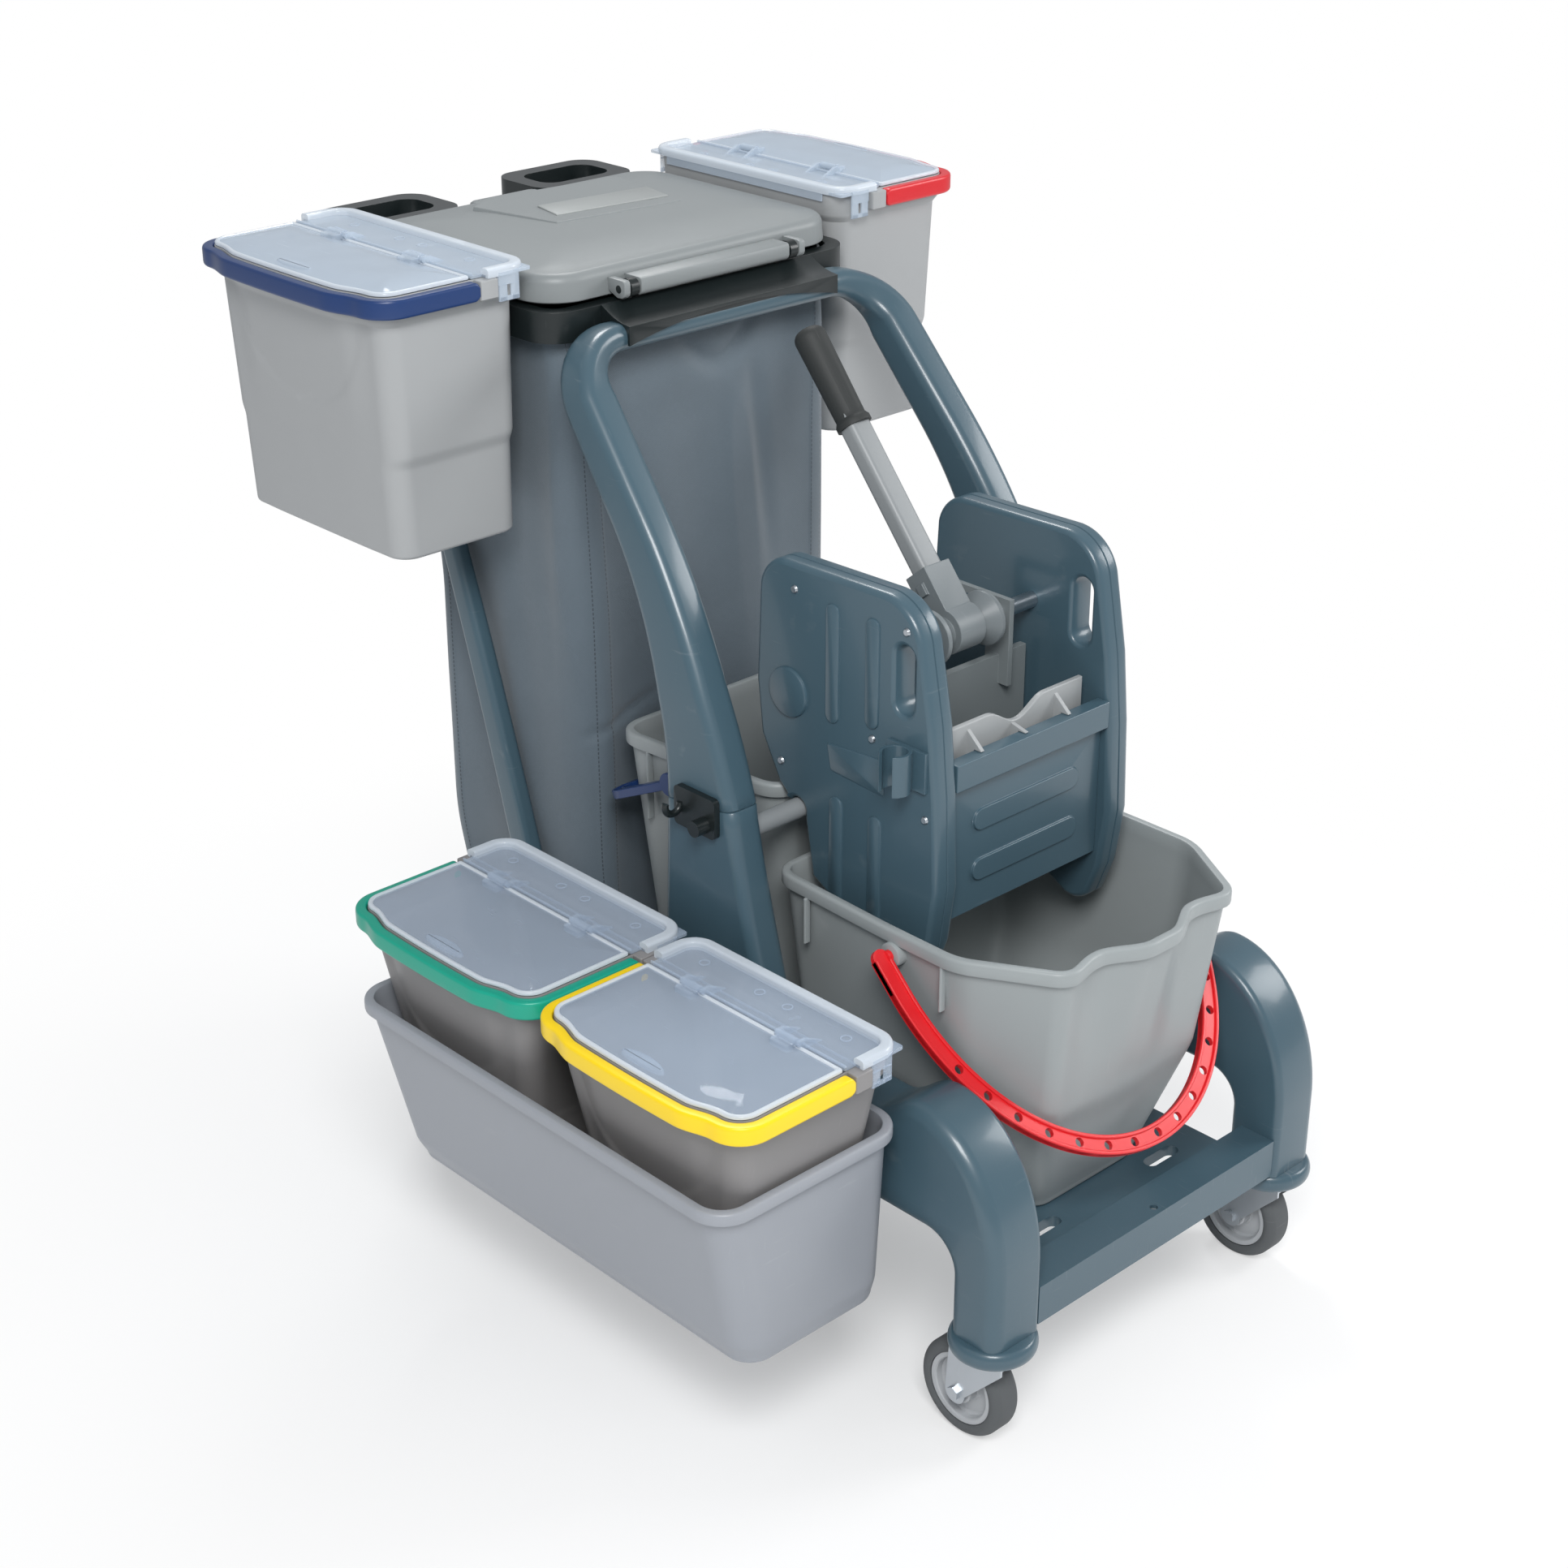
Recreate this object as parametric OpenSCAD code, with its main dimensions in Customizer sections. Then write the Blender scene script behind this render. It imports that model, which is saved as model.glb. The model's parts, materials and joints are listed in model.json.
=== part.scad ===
// Janitor cart: rolling base with two side frames, a leaning arch that carries a bag frame with a
// hinged lid, two buckets, a lever wringer, a side tub and four lidded caddy boxes.
// Millimetres, +Z up. The front faces -Y and the tub hangs on the -X side.

/* [Casters] */
// Diameter of a caster wheel
wheel_d = 100; // [90:1:110]
// Width of the tyre
tyre_w = 32; // [26:1:36]
// Diameter of the wheel's plastic rim
rim_d = 74; // [64:1:80]
// Diameter of the axle bolt
axle_d = 10; // [8:1:12]
// Distance from the swivel axis to the wheel axis
caster_trail = 26; // [20:1:32]
// Thickness of the fork's sheet metal
fork_t = 2.5; // [2:0.5:4]
// Diameter of the kingpin that the fork swivels on
kingpin_d = 16; // [12:1:18]

/* [Base] */
// Distance from the middle plane to each foot
foot_x = 206; // [200:1:220]
// Distance between front and rear swivel axes
wheelbase = 790; // [770:5:830]
// Height of the legs' lower end above the floor
foot_z = 125; // [120:1:135]
// Width of a side frame
side_w = 64; // [58:1:68]
// Depth of a leg, front to back
leg_depth = 58; // [52:1:66]
// Height of the front shoulder
shoulder_z = 343; // [330:1:360]
// Height of the side beam's top face
beam_top_z = 313; // [300:1:322]
// Height of the side beam's lower edge
beam_low_z = 218; // [205:1:225]
// Radius of a foot bumper
bumper_r = 42; // [38:1:46]
// Height of the front deck that carries the front bucket
deck_low_z = 157; // [150:1:162]
// Height of the rear deck that carries the rear bucket and the bag
deck_high_z = 232; // [226:1:240]
// Width of the front deck
deck_w = 300; // [270:5:320]

/* [Arch] */
// Radius of the posts' curve in side view
arch_r = 505; // [490:1:520]
// Angle that the posts lean back at the top
arch_lean = 39.5; // [38:0.5:41]
// Depth of a post at the split line
post_depth_low = 94; // [84:1:100]
// Depth of a post at the top
post_depth_top = 44; // [38:1:50]
// Width of a post
post_w = 40; // [34:1:44]
// Radius of the arch's top corners
arch_corner_r = 60; // [50:1:66]
// Diameter of the cross tube between the posts
tube_d = 20; // [16:1:22]

/* [Bag and lid] */
// Width of the bag frame
frame_w = 400; // [390:1:410]
// Length of the bag frame
frame_l = 306; // [290:1:320]
// Height of the bag frame's bar
frame_h = 30; // [24:1:34]
// Width of the bag frame's bar
frame_bar = 16; // [12:1:18]
// Height of the bag frame's lower edge
frame_z = 918; // [910:1:930]
// Reach of the rear handle loops behind the bag frame
handle_reach = 103; // [90:1:120]
// How far each side of the lid stands in from the bag frame
lid_inset = 8; // [5:1:15]
// Length of the bag lid
lid_l = 300; // [290:1:310]
// Height of the bag lid's side wall
lid_h = 27; // [22:1:32]
// Thickness of the bag's cloth wall
bag_wall = 2.5; // [2:0.5:4]

/* [Buckets] */
// Height of the front bucket
front_bucket_h = 302; // [280:1:310]
// Height of the rear bucket
rear_bucket_h = 295; // [270:1:300]
// Wall thickness of the buckets
bucket_wall = 3; // [2.5:0.5:4]
// Width of a bucket rim's rolled edge
rim_w = 6; // [4:0.5:8]
// Radial width of a bail
bail_w = 22; // [18:1:24]
// Thickness of a bail
bail_t = 9; // [7:0.5:11]

/* [Caddy boxes and tub] */
// Height of a caddy box
box_h = 258; // [245:1:262]
// Depth of a hung box at its rim, from the hinge side to the front
box_d = 165; // [155:1:172]
// Length of a hung box at its rim
box_l = 284; // [270:1:288]
// Depth of a box in the tub at its rim
tub_box_d = 186; // [178:1:188]
// Length of a box in the tub at its rim
tub_box_l = 256; // [246:1:258]
// Wall thickness of a caddy box
box_wall = 2.5; // [2:0.5:3]
// Width of a box handle's bar
box_bar = 11; // [9:0.5:12]
// Height of a box handle's bar
box_bar_h = 18; // [14:1:20]
// Length of the tub at its rim
tub_l = 530; // [520:1:560]
// Width of the tub at its rim
tub_w = 228; // [215:1:240]
// Height of the tub
tub_h = 193; // [180:1:200]

/* [Wringer] */
// Distance from the middle plane to a side plate's inner face
plate_x = 105; // [98:1:110]
// Thickness of a side plate
plate_t = 30; // [24:1:32]
// Diameter of the lever shaft
shaft_d = 16; // [12:1:18]
// Angle of the lever from upright at rest
lever_angle = 40; // [30:1:44]
// Length of the lever from the shaft to the grip's end
lever_l = 318; // [290:1:330]
// Length of the grip
grip_l = 104; // [90:1:120]
// Travel of the moving press plate
press_travel = 45; // [30:1:48]
// Inside diameter of the handle clip
clip_d = 23; // [20:1:26]

/* [Hidden] */
$fn = 48;

// Clearances: flat seats, curved seats, pins in their holes
seat = 0.3;
run = 0.05;

// Main places
front_foot_y = -20;
rear_foot_y = front_foot_y + wheelbase;
side_out = foot_x + side_w / 2;
side_in = foot_x - side_w / 2;
leg_front = front_foot_y - leg_depth / 2;
leg_back = front_foot_y + leg_depth / 2;
bucket_gap_y = 322;

// Colours
slate = "#4d5f6c";
grey = "#9a9c9c";
pale = "#a9abad";
black = "#23282a";
zinc = "#b9bec4";
cloth = "#5b6873";
clear = [0.85, 0.9, 0.95, 0.45];

// Point lists and skins

function unit(v) = v / norm(v);
function mix(a, b, k) = [for (i = [0:len(a) - 1]) a[i] * (1 - k) + b[i] * k];
function arc(c, r, a0, a1, n) = [for (i = [0:n]) let (a = a0 + (a1 - a0) * i / n) c + r * [cos(a), sin(a)]];
function ellipse_arc(c, rx, ry, a0, a1, n) =
    [for (i = [0:n]) let (a = a0 + (a1 - a0) * i / n) c + [rx * cos(a), ry * sin(a)]];
function round_rect(x0, y0, x1, y1, r, n) = concat(
    arc([x1 - r, y0 + r], r, -90, 0, n), arc([x1 - r, y1 - r], r, 0, 90, n),
    arc([x0 + r, y1 - r], r, 90, 180, n), arc([x0 + r, y0 + r], r, 180, 270, n));
// Moves each corner of a counter-clockwise outline inwards by d
function inset(p, d) = [for (i = [0:len(p) - 1])
    let (n = len(p), e = unit(p[i] - p[(i + n - 1) % n]), f = unit(p[(i + 1) % n] - p[i]),
         a = [-e.y, e.x], b = [-f.y, f.x]) p[i] + d * (a + b) / (1 + a * b)];
function level(p, z) = [for (q = p) [q.x, q.y, z]];
// Lays an outline in the plane across X
function across(p, x) = [for (q = p) [x, q.x, q.y]];

// Closed skin through rings of equal count, capped at the first and last ring
module skin(rings) {
    n = len(rings[0]);
    m = len(rings);
    points = [for (r = rings) for (p = r) p];
    sides = [for (i = [0:m - 2]) for (j = [0:n - 1])
        let (a = i * n + j, b = i * n + (j + 1) % n, c = a + n, d = b + n)
        for (t = [[a, c, d], [a, d, b]]) t];
    low = [for (j = [0:n - 1]) j];
    high = [for (j = [n - 1:-1:0]) (m - 1) * n + j];
    polyhedron(points, concat(sides, [low, high]), convexity = 6);
}

// Rounded rectangle as a flat shape with true round corners
module rounded_plate(x0, y0, x1, y1, r) {
    translate([x0 + r, y0]) square([x1 - x0 - 2 * r, y1 - y0]);
    translate([x0, y0 + r]) square([x1 - x0, y1 - y0 - 2 * r]);
    for (x = [x0 + r, x1 - r])
        for (y = [y0 + r, y1 - r])
            translate([x, y]) circle(r);
}

// Long rounded bar as a flat shape
module stadium(length, width) {
    square([length - width, width], center = true);
    for (s = [-1, 1])
        translate([s * (length - width) / 2, 0]) circle(width / 2);
}

// Extrudes a flat shape drawn in Y and Z along X, from x0 to x1
module along_x(x0, x1) {
    translate([x0, 0, 0]) rotate([90, 0, 90]) linear_extrude(x1 - x0) children();
}

module both_sides() {
    children();
    mirror([1, 0, 0]) children();
}

// Casters

bumper_plate = 3;
bumper_ring = 9;
bumper_low_z = wheel_d + 6;
stem_flange = 3;
fork_top_z = foot_z - bumper_plate - stem_flange - seat;
fork_plate_z = wheel_d + 2.5;
fork_gap = tyre_w + 5;
kingpin_head = 2;
feet = [for (y = [front_foot_y, rear_foot_y]) for (s = [-1, 1]) [s * foot_x, y]];

module foot_bumpers() {
    color(slate)
        for (f = feet)
            translate([f.x, f.y, 0]) rotate_extrude() bumper_section();
}

module bumper_section() {
    half = (foot_z - bumper_low_z) / 2;
    bulge = 6;
    hole = kingpin_d / 2 + seat;
    translate([hole, foot_z - bumper_plate]) square([bumper_r - bumper_ring - hole + 1, bumper_plate]);
    polygon(concat([[bumper_r - bumper_ring, foot_z], [bumper_r - bumper_ring, bumper_low_z]],
        ellipse_arc([bumper_r - bulge, bumper_low_z + half], bulge, half, -90, 90, 10)));
}

module caster_stems() {
    flange_r = bumper_r - bumper_ring - 2;
    color(zinc)
        for (f = feet)
            translate([f.x, f.y, 0]) {
                translate([0, 0, fork_top_z + seat]) cylinder(h = stem_flange, r = flange_r);
                translate([0, 0, fork_plate_z - kingpin_head])
                    cylinder(h = foot_z - fork_plate_z + kingpin_head, d = kingpin_d);
            }
}

module fork() {
    race_r = bumper_r - bumper_ring - 4;
    leg_w = 2 * race_r;
    axle_r = axle_d / 2;
    color(zinc) {
        difference() {
            union() {
                translate([0, 0, fork_plate_z + fork_t])
                    cylinder(h = fork_top_z - fork_plate_z - fork_t, r1 = race_r, r2 = race_r - 6);
                translate([-fork_gap / 2 - fork_t, -race_r, fork_plate_z])
                    cube([fork_gap + 2 * fork_t, leg_w + 6, fork_t]);
                for (s = [-1, 1])
                    along_x(s * (fork_gap + fork_t) / 2 - fork_t / 2,
                        s * (fork_gap + fork_t) / 2 + fork_t / 2)
                        fork_leg(race_r);
            }
            translate([0, 0, fork_plate_z - 1]) cylinder(h = foot_z, d = kingpin_d + 2 * run);
        }
        translate([-fork_gap / 2 - fork_t, caster_trail, wheel_d / 2])
            rotate([0, 90, 0]) cylinder(h = fork_gap + 2 * fork_t, r = axle_r);
        for (s = [-1, 1])
            translate([s * (fork_gap / 2 + fork_t), caster_trail, wheel_d / 2])
                rotate([0, s * 90, 0]) cylinder(h = 4, d = axle_d + 4, $fn = 6);
    }
}

module fork_leg(race_r) {
    eye_r = axle_d / 2 + 7;
    top = fork_plate_z + fork_t;
    polygon([[-race_r, top], [-race_r, top - 8], [caster_trail - eye_r, wheel_d / 2],
        [caster_trail + eye_r, wheel_d / 2], [race_r + 6, top - 6], [race_r + 6, top]]);
    translate([caster_trail, wheel_d / 2]) circle(eye_r);
}

// Everything that turns with the wheel is drawn about its axle
module on_axle() {
    translate([0, caster_trail, wheel_d / 2]) rotate([0, 90, 0]) children();
}

module rim() {
    hub_r = axle_d / 2 + 9;
    rim_r = rim_d / 2;
    half = tyre_w / 2;
    bore = axle_d / 2 + run;
    color(pale) on_axle() rotate_extrude() {
        translate([bore, -half]) square([hub_r - bore, tyre_w]);
        translate([bore + 1, -4]) square([rim_r - bore - 3, 8]);
        translate([rim_r - 6, -half + 3]) square([6, tyre_w - 6]);
    }
}

module tyre() {
    rim_r = rim_d / 2 + 0.1;
    shoulder = 6;
    color("#4a4a4a") on_axle() rotate_extrude() {
        translate([rim_r, -tyre_w / 2]) square([wheel_d / 2 - rim_r - shoulder, tyre_w]);
        translate([rim_r, -tyre_w / 2 + shoulder]) square([wheel_d / 2 - rim_r, tyre_w - 2 * shoulder]);
        for (s = [-1, 1])
            translate([wheel_d / 2 - shoulder, s * (tyre_w / 2 - shoulder)]) circle(shoulder);
    }
}

module at_foot(i) {
    translate([feet[i].x, feet[i].y, 0]) children();
}

// Base

edge_round = 11;
shoulder_rx = 108;
shoulder_z0 = shoulder_z - 143;
hump_back = 60;
arch_under_r = 33;
rear_round_x = 80;
rear_round_z = beam_top_z - 200;
hook_ys = [165, 480];
hook_w = 50;
hook_leg = 8;
hook_drop = 26;
hook_clear = 2;
hook_x = side_out - 18;

// Side view of a side frame, with the space between its legs still filled
function side_outline() = concat(
    [[leg_front, foot_z], [rear_foot_y + leg_depth / 2, foot_z]],
    ellipse_arc([rear_foot_y + leg_depth / 2 - rear_round_x, beam_top_z - rear_round_z],
        rear_round_x, rear_round_z, 0, 90, 8),
    [for (i = [6:-1:1]) let (k = i / 6)
        [leg_front + shoulder_rx + hump_back * k,
         beam_top_z + (shoulder_z - beam_top_z) * (1 + cos(180 * k)) / 2]],
    ellipse_arc([leg_front + shoulder_rx, shoulder_z0], shoulder_rx, shoulder_z - shoulder_z0, 90, 180, 10));

side_rings = [[side_in, 8], [side_in + 2.5, 3], [side_in + 7, 0], [side_out - edge_round, 0],
    [side_out - 4.5, 2], [side_out - 1.5, 5.5], [side_out, edge_round]];

module side_frame() {
    difference() {
        skin([for (r = side_rings) across(inset(side_outline(), r[1]), r[0])]);
        along_x(side_in - 1, side_out + 1)
            rounded_plate(leg_back, foot_z - 2 * arch_under_r, rear_foot_y - leg_depth / 2, beam_low_z,
                arch_under_r);
        for (y = hook_ys)
            translate([hook_x - hook_leg / 2 - hook_clear, y - hook_w / 2 - hook_clear,
                beam_top_z - hook_drop - hook_clear])
                cube([hook_leg + 2 * hook_clear, hook_w + 2 * hook_clear, hook_drop + 2 * hook_clear]);
    }
}

module side_frames() {
    color(slate) both_sides() side_frame();
}

crossbar_l = 40;
crossbar_low_z = foot_z + 3;
crossbar_top_z = deck_low_z + 12;
crossbar_y = leg_front + 3;
crossbar_wall = 4;
crossbar_hole_d = 8;
deck_t = 12;
deck_high_t = deck_high_z - beam_low_z;
deck_slot_x = 88;
deck_slot_y = 26;
step_t = 5;
rear_deck_y = rear_foot_y + leg_depth / 2 - 4;

module platform() {
    color(slate) {
        difference() {
            translate([-side_in, crossbar_y, crossbar_low_z])
                cube([2 * side_in, crossbar_l, crossbar_top_z - crossbar_low_z]);
            translate([-side_in + crossbar_wall, crossbar_y + crossbar_wall, crossbar_low_z - 1])
                cube([2 * (side_in - crossbar_wall), crossbar_l - 2 * crossbar_wall,
                    crossbar_top_z - crossbar_low_z - crossbar_wall + 1]);
            translate([0, crossbar_y + 10, crossbar_low_z]) cylinder(h = 100, d = crossbar_hole_d);
        }
        difference() {
            translate([-deck_w / 2, crossbar_y + crossbar_l - 1, deck_low_z - deck_t])
                cube([deck_w, bucket_gap_y - crossbar_y - crossbar_l + 1 + step_t, deck_t]);
            for (s = [-1, 1])
                translate([s * deck_slot_x, deck_slot_y, 0]) linear_extrude(deck_low_z + 1) stadium(46, 15);
        }
        translate([-deck_w / 2, bucket_gap_y, deck_low_z - deck_t])
            cube([deck_w, step_t, deck_high_z - deck_low_z + deck_t]);
    }
}

module rear_deck() {
    front = bucket_gap_y + step_t;
    color(slate) {
        translate([-side_in, front, beam_low_z]) cube([2 * side_in, rear_deck_y - front, deck_high_t]);
        for (x = [-110, 0, 110])
            translate([x - 3, front, beam_low_z - 18]) cube([6, rear_deck_y - front, 19]);
        translate([-side_in + 12, rear_deck_y - 6, beam_low_z - 30]) cube([2 * side_in - 24, 6, 31]);
    }
}

// Arch

arch_y0 = 338;
arch_drop = 448;
arch_z0 = frame_z - arch_drop;
split_a = 8;
post_x_low = side_out - post_w / 2;
post_x_top = post_x_low - 18;
post_x_start_z = 650;
arch_rise = 4;
arch_top_z = frame_z + arch_rise;
arch_bar_w = 26;
arch_bar_d = 34;
arch_corner_z = arch_top_z - arch_corner_r * cos(arch_lean);
arc_end = [arch_y0 + arch_r * (1 - cos(arch_lean)), arch_z0 + arch_r * sin(arch_lean)];
arch_corner_y = arc_end.x + (arch_corner_z - arc_end.y) * tan(arch_lean);
arch_top_y = arch_corner_y + arch_corner_r * sin(arch_lean);
split_z = arch_z0 + arch_r * sin(split_a);

function post_x(z) =
    post_x_low - (post_x_low - post_x_top)
        * min(1, max(0, (z - post_x_start_z) / (arch_corner_z - post_x_start_z)));
function post_half_depth(z) =
    post_depth_top / 2 + (post_depth_low - post_depth_top) / 2
        * pow(max(0, (arch_corner_z - z) / (arch_corner_z - split_z)), 2);

// Stations of the right half of the arch: centre, half depth, half width
arc_stations = [for (i = [0:7]) let (a = split_a + (arch_lean - split_a) * i / 7,
    y = arch_y0 + arch_r * (1 - cos(a)), z = arch_z0 + arch_r * sin(a))
    [[post_x(z), y, z], post_half_depth(z), post_w / 2]];
corner_stations = [for (i = [0:6]) let (b = 90 * i / 6, k = i / 6)
    [[post_x_top - arch_corner_r * (1 - cos(b)), arch_corner_y + arch_corner_r * sin(b) * sin(arch_lean),
      arch_corner_z + arch_corner_r * sin(b) * cos(arch_lean)],
     post_depth_top / 2 * (1 - k) + arch_bar_d / 2 * k, post_w / 2 * (1 - k) + arch_bar_w / 2 * k]];
half_arch = concat(arc_stations, corner_stations);
arch_stations = concat(half_arch,
    [for (i = [len(half_arch) - 1:-1:0]) let (s = half_arch[i]) [[-s[0].x, s[0].y, s[0].z], s[1], s[2]]]);

function tangent(i) = let (n = len(arch_stations), a = arch_stations[max(0, i - 1)][0],
    b = arch_stations[min(n - 1, i + 1)][0]) unit(b - a);
end_tangent = [0, sin(split_a), cos(split_a)];
// Ring of a post: depth along v, which points forwards, and width along u, which points outwards
function post_ring(c, t, half_depth, half_width, r) =
    let (v = unit([0, -1, 0] + t.y * t), u = cross(t, v))
    [for (p = round_rect(-half_depth, -half_width, half_depth, half_width, r, 4)) c + p.x * v + p.y * u];

post_round = 12;

module arch() {
    n = len(arch_stations);
    color(slate)
        skin([for (i = [0:n - 1]) let (s = arch_stations[i],
            t = i == 0 ? end_tangent : i == n - 1 ? [0, -end_tangent.y, -end_tangent.z] : tangent(i))
            post_ring(s[0], t, s[1], s[2], min(post_round, s[2] - 1))]);
}

// Lower end of a post, from the beam's top face up to the split line
foot_spread = 58;
foot_neck = 8;

module post_foot() {
    split_y = arch_y0 + arch_r * (1 - cos(split_a));
    low_w = (post_w - edge_round) / 2;
    neck_k = 1 - foot_neck / (split_z - beam_top_z);
    skin([for (k = [1, neck_k, 0.8, 0.6, 0.4, 0.2, 0])
        let (a = split_a * (1 - k), z = split_z - (split_z - beam_top_z) * k,
             spread = foot_spread * pow(k, 1.2), half = post_depth_low / 2 + spread / 2 + 4 * k,
             w = k == 1 ? low_w : post_w / 2)
        post_ring([post_x_low - post_w / 2 + w, split_y - spread / 2 + 4 * k, z], [0, sin(a), cos(a)],
            half, w, post_round)]);
}

module post_feet() {
    color(slate) both_sides() post_foot();
}

tube_y = 316;
tube_z = 512;

module cross_tube() {
    color(pale)
        translate([-post_x_low + post_w / 2, tube_y, tube_z])
            rotate([0, 90, 0]) cylinder(h = 2 * post_x_low - post_w, d = tube_d);
}

cover_half = 137;
cover_wall = 3.4;
cover_front = arch_top_y - arch_bar_d / 2 - cover_wall;
frame_y0 = arch_top_y + arch_bar_d / 2 + cover_wall;
cover_top = frame_z + frame_h;

module arch_cover() {
    sag = 3;
    lip = 16;
    low = arch_top_z - 6;
    rise = cover_top - arch_top_z - 13;
    back = frame_y0 - seat;
    color(black) difference() {
        along_x(-cover_half, cover_half) difference() {
            polygon(concat([[back, low], [back, cover_top]],
                [for (i = [1:8]) let (k = i / 8)
                    [back + (cover_front - back) * k, cover_top - rise * k - sag * sin(180 * k)]],
                [[cover_front, low]]));
            translate([arch_top_y, arch_top_z]) rounded_plate(-arch_bar_d / 2 - seat, -arch_bar_w,
                arch_bar_d / 2 + seat, arch_bar_w / 2 + seat, post_round);
        }
        translate([0, cover_front + cover_wall + 0.2, 0]) rotate([90, 0, 0]) linear_extrude(cover_wall + 1)
            polygon(concat([[cover_half, low - 1]],
                [for (i = [12:-1:-12]) let (k = i / 12) [cover_half * k, low + lip * (1 - k * k)]],
                [[-cover_half, low - 1]]));
    }
}

rear_post_w = 20;
rear_post_x = frame_w / 2 - rear_post_w / 2 + 2;
rear_post_low = [650, beam_top_z];
rear_post_top = [852, frame_z];

module rear_posts() {
    bow = 10;
    run_v = rear_post_top - rear_post_low;
    lean = atan(run_v.x / run_v.y);
    color(slate) both_sides()
        skin([for (i = [0:8]) let (k = i / 8, p = rear_post_low + run_v * k, half = 17 - 7 * k,
            flat = i == 0 || i == 8 ? 1 : 0)
            post_ring([rear_post_x, p.x - bow * sin(180 * k), p.y],
                [0, sin(lean) * (1 - flat), flat == 1 ? 1 : cos(lean)], half, rear_post_w / 2, 7)]);
}

// Bag frame, bag and lid

hinge_y = frame_y0 - 4;
hinge_z = cover_top + 12;
hinge_bar_r = 9;
hinge_pin_d = 8;
strip_half = 97;
lug_w = 10;
lug_gap = 2;
lug_x = strip_half + lug_gap;
ear_x = lug_x + lug_w + 1.5;
ear_w = 8;
frame_y1 = frame_y0 + frame_l;
hanger_t = 3.6;
hanger_top = cover_top + 14;
hanger_l = 180;
box_y = frame_y0 + 170;
loop_bar = 20;
loop_l = 131;
loop_in = 52;
loop_top = cover_top + 25;

module bag_frame() {
    color(black) {
        translate([0, 0, frame_z]) linear_extrude(frame_h) difference() {
            rounded_plate(-frame_w / 2, frame_y0, frame_w / 2, frame_y1, 34);
            rounded_plate(-frame_w / 2 + frame_bar, frame_y0 + frame_bar, frame_w / 2 - frame_bar,
                frame_y1 - frame_bar, 34 - frame_bar);
        }
        for (s = [-1, 1]) {
            translate([s > 0 ? frame_w / 2 - 1 : -frame_w / 2 - hanger_t, box_y - hanger_l / 2, frame_z + 6])
                cube([hanger_t + 1, hanger_l, hanger_top - frame_z - 6]);
            along_x(s * (lug_x + lug_w / 2) - lug_w / 2, s * (lug_x + lug_w / 2) + lug_w / 2) hinge_lug();
        }
        both_sides() {
            translate([loop_in, frame_y1 - 2, cover_top - 24]) cube([loop_l, 26, 22]);
            translate([0, 0, loop_top - 28]) linear_extrude(28) difference() {
                rounded_plate(loop_in, frame_y1 + 9, loop_in + loop_l, frame_y1 + handle_reach, 26);
                rounded_plate(loop_in + loop_bar, frame_y1 + 9 + loop_bar, loop_in + loop_l - loop_bar,
                    frame_y1 + handle_reach - loop_bar, 18);
            }
        }
    }
}

module hinge_lug() {
    difference() {
        union() {
            translate([hinge_y, hinge_z]) circle(hinge_bar_r);
            translate([frame_y0, cover_top - 8]) square([hinge_bar_r - 4, hinge_z - cover_top + 8]);
        }
        translate([hinge_y, hinge_z]) circle(hinge_pin_d / 2 + run);
    }
}

module lid_hinge_pins() {
    reach = 20;
    color(black)
        for (s = [-1, 1])
            translate([s * (strip_half - reach), hinge_y, hinge_z]) rotate([0, s * 90, 0])
                cylinder(h = ear_x + ear_w - strip_half + reach, d = hinge_pin_d);
}

lid_w = frame_w - 2 * lid_inset;
lid_y0 = hinge_y + hinge_bar_r + 6;
lid_y1 = lid_y0 + lid_l;
lid_z0 = cover_top + 4;
lid_wall = 3;
lid_dome = 6;

module bag_lid() {
    outline = round_rect(-lid_w / 2, lid_y0, lid_w / 2, lid_y1, 44, 7);
    top = lid_z0 + lid_h;
    color(grey) {
        skin([level(inset(outline, 24), top + lid_dome - 3 - lid_wall),
            level(inset(outline, 8), top - lid_wall),
            level(inset(outline, lid_wall), top - 8), level(inset(outline, lid_wall), lid_z0),
            level(outline, lid_z0), level(outline, top - 10), level(inset(outline, 2), top - 4),
            level(inset(outline, 6), top), level(inset(outline, 24), top + lid_dome - 3),
            level(inset(outline, 42), top + lid_dome)]);
        translate([0, 0, top + lid_dome - 1]) linear_extrude(4)
            polygon([[-62, lid_y0 + 95], [76, lid_y0 + 95], [76, lid_y0 + 205], [-46, lid_y0 + 205],
                [-88, lid_y0 + 160]]);
        translate([-44, lid_y1 - 4, lid_z0 + 4]) cube([88, 20, lid_h - 8]);
        along_x(-strip_half, strip_half) hinge_strip();
        for (s = [-1, 1])
            along_x(s * (ear_x + ear_w / 2) - ear_w / 2, s * (ear_x + ear_w / 2) + ear_w / 2) hinge_strip();
    }
}

module hinge_strip() {
    difference() {
        union() {
            translate([hinge_y, hinge_z]) circle(hinge_bar_r);
            translate([hinge_y, hinge_z - 3]) square([lid_y0 - hinge_y + 1.5, 3 + hinge_bar_r]);
        }
        translate([hinge_y, hinge_z]) circle(hinge_pin_d / 2 + run);
    }
}

bag_low_z = deck_high_z + seat;
bag_y0 = bucket_gap_y + 256;
bag_y1 = bag_y0 + 224;
bag_half = rear_post_x - rear_post_w / 2 - 4;
bag_foot = min(side_in - 1, bag_half - 4);
mouth_half = frame_w / 2 - frame_bar - 3;
mouth_y0 = frame_y0 + frame_bar + 1;
mouth_y1 = frame_y1 - frame_bar - 1;

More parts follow.
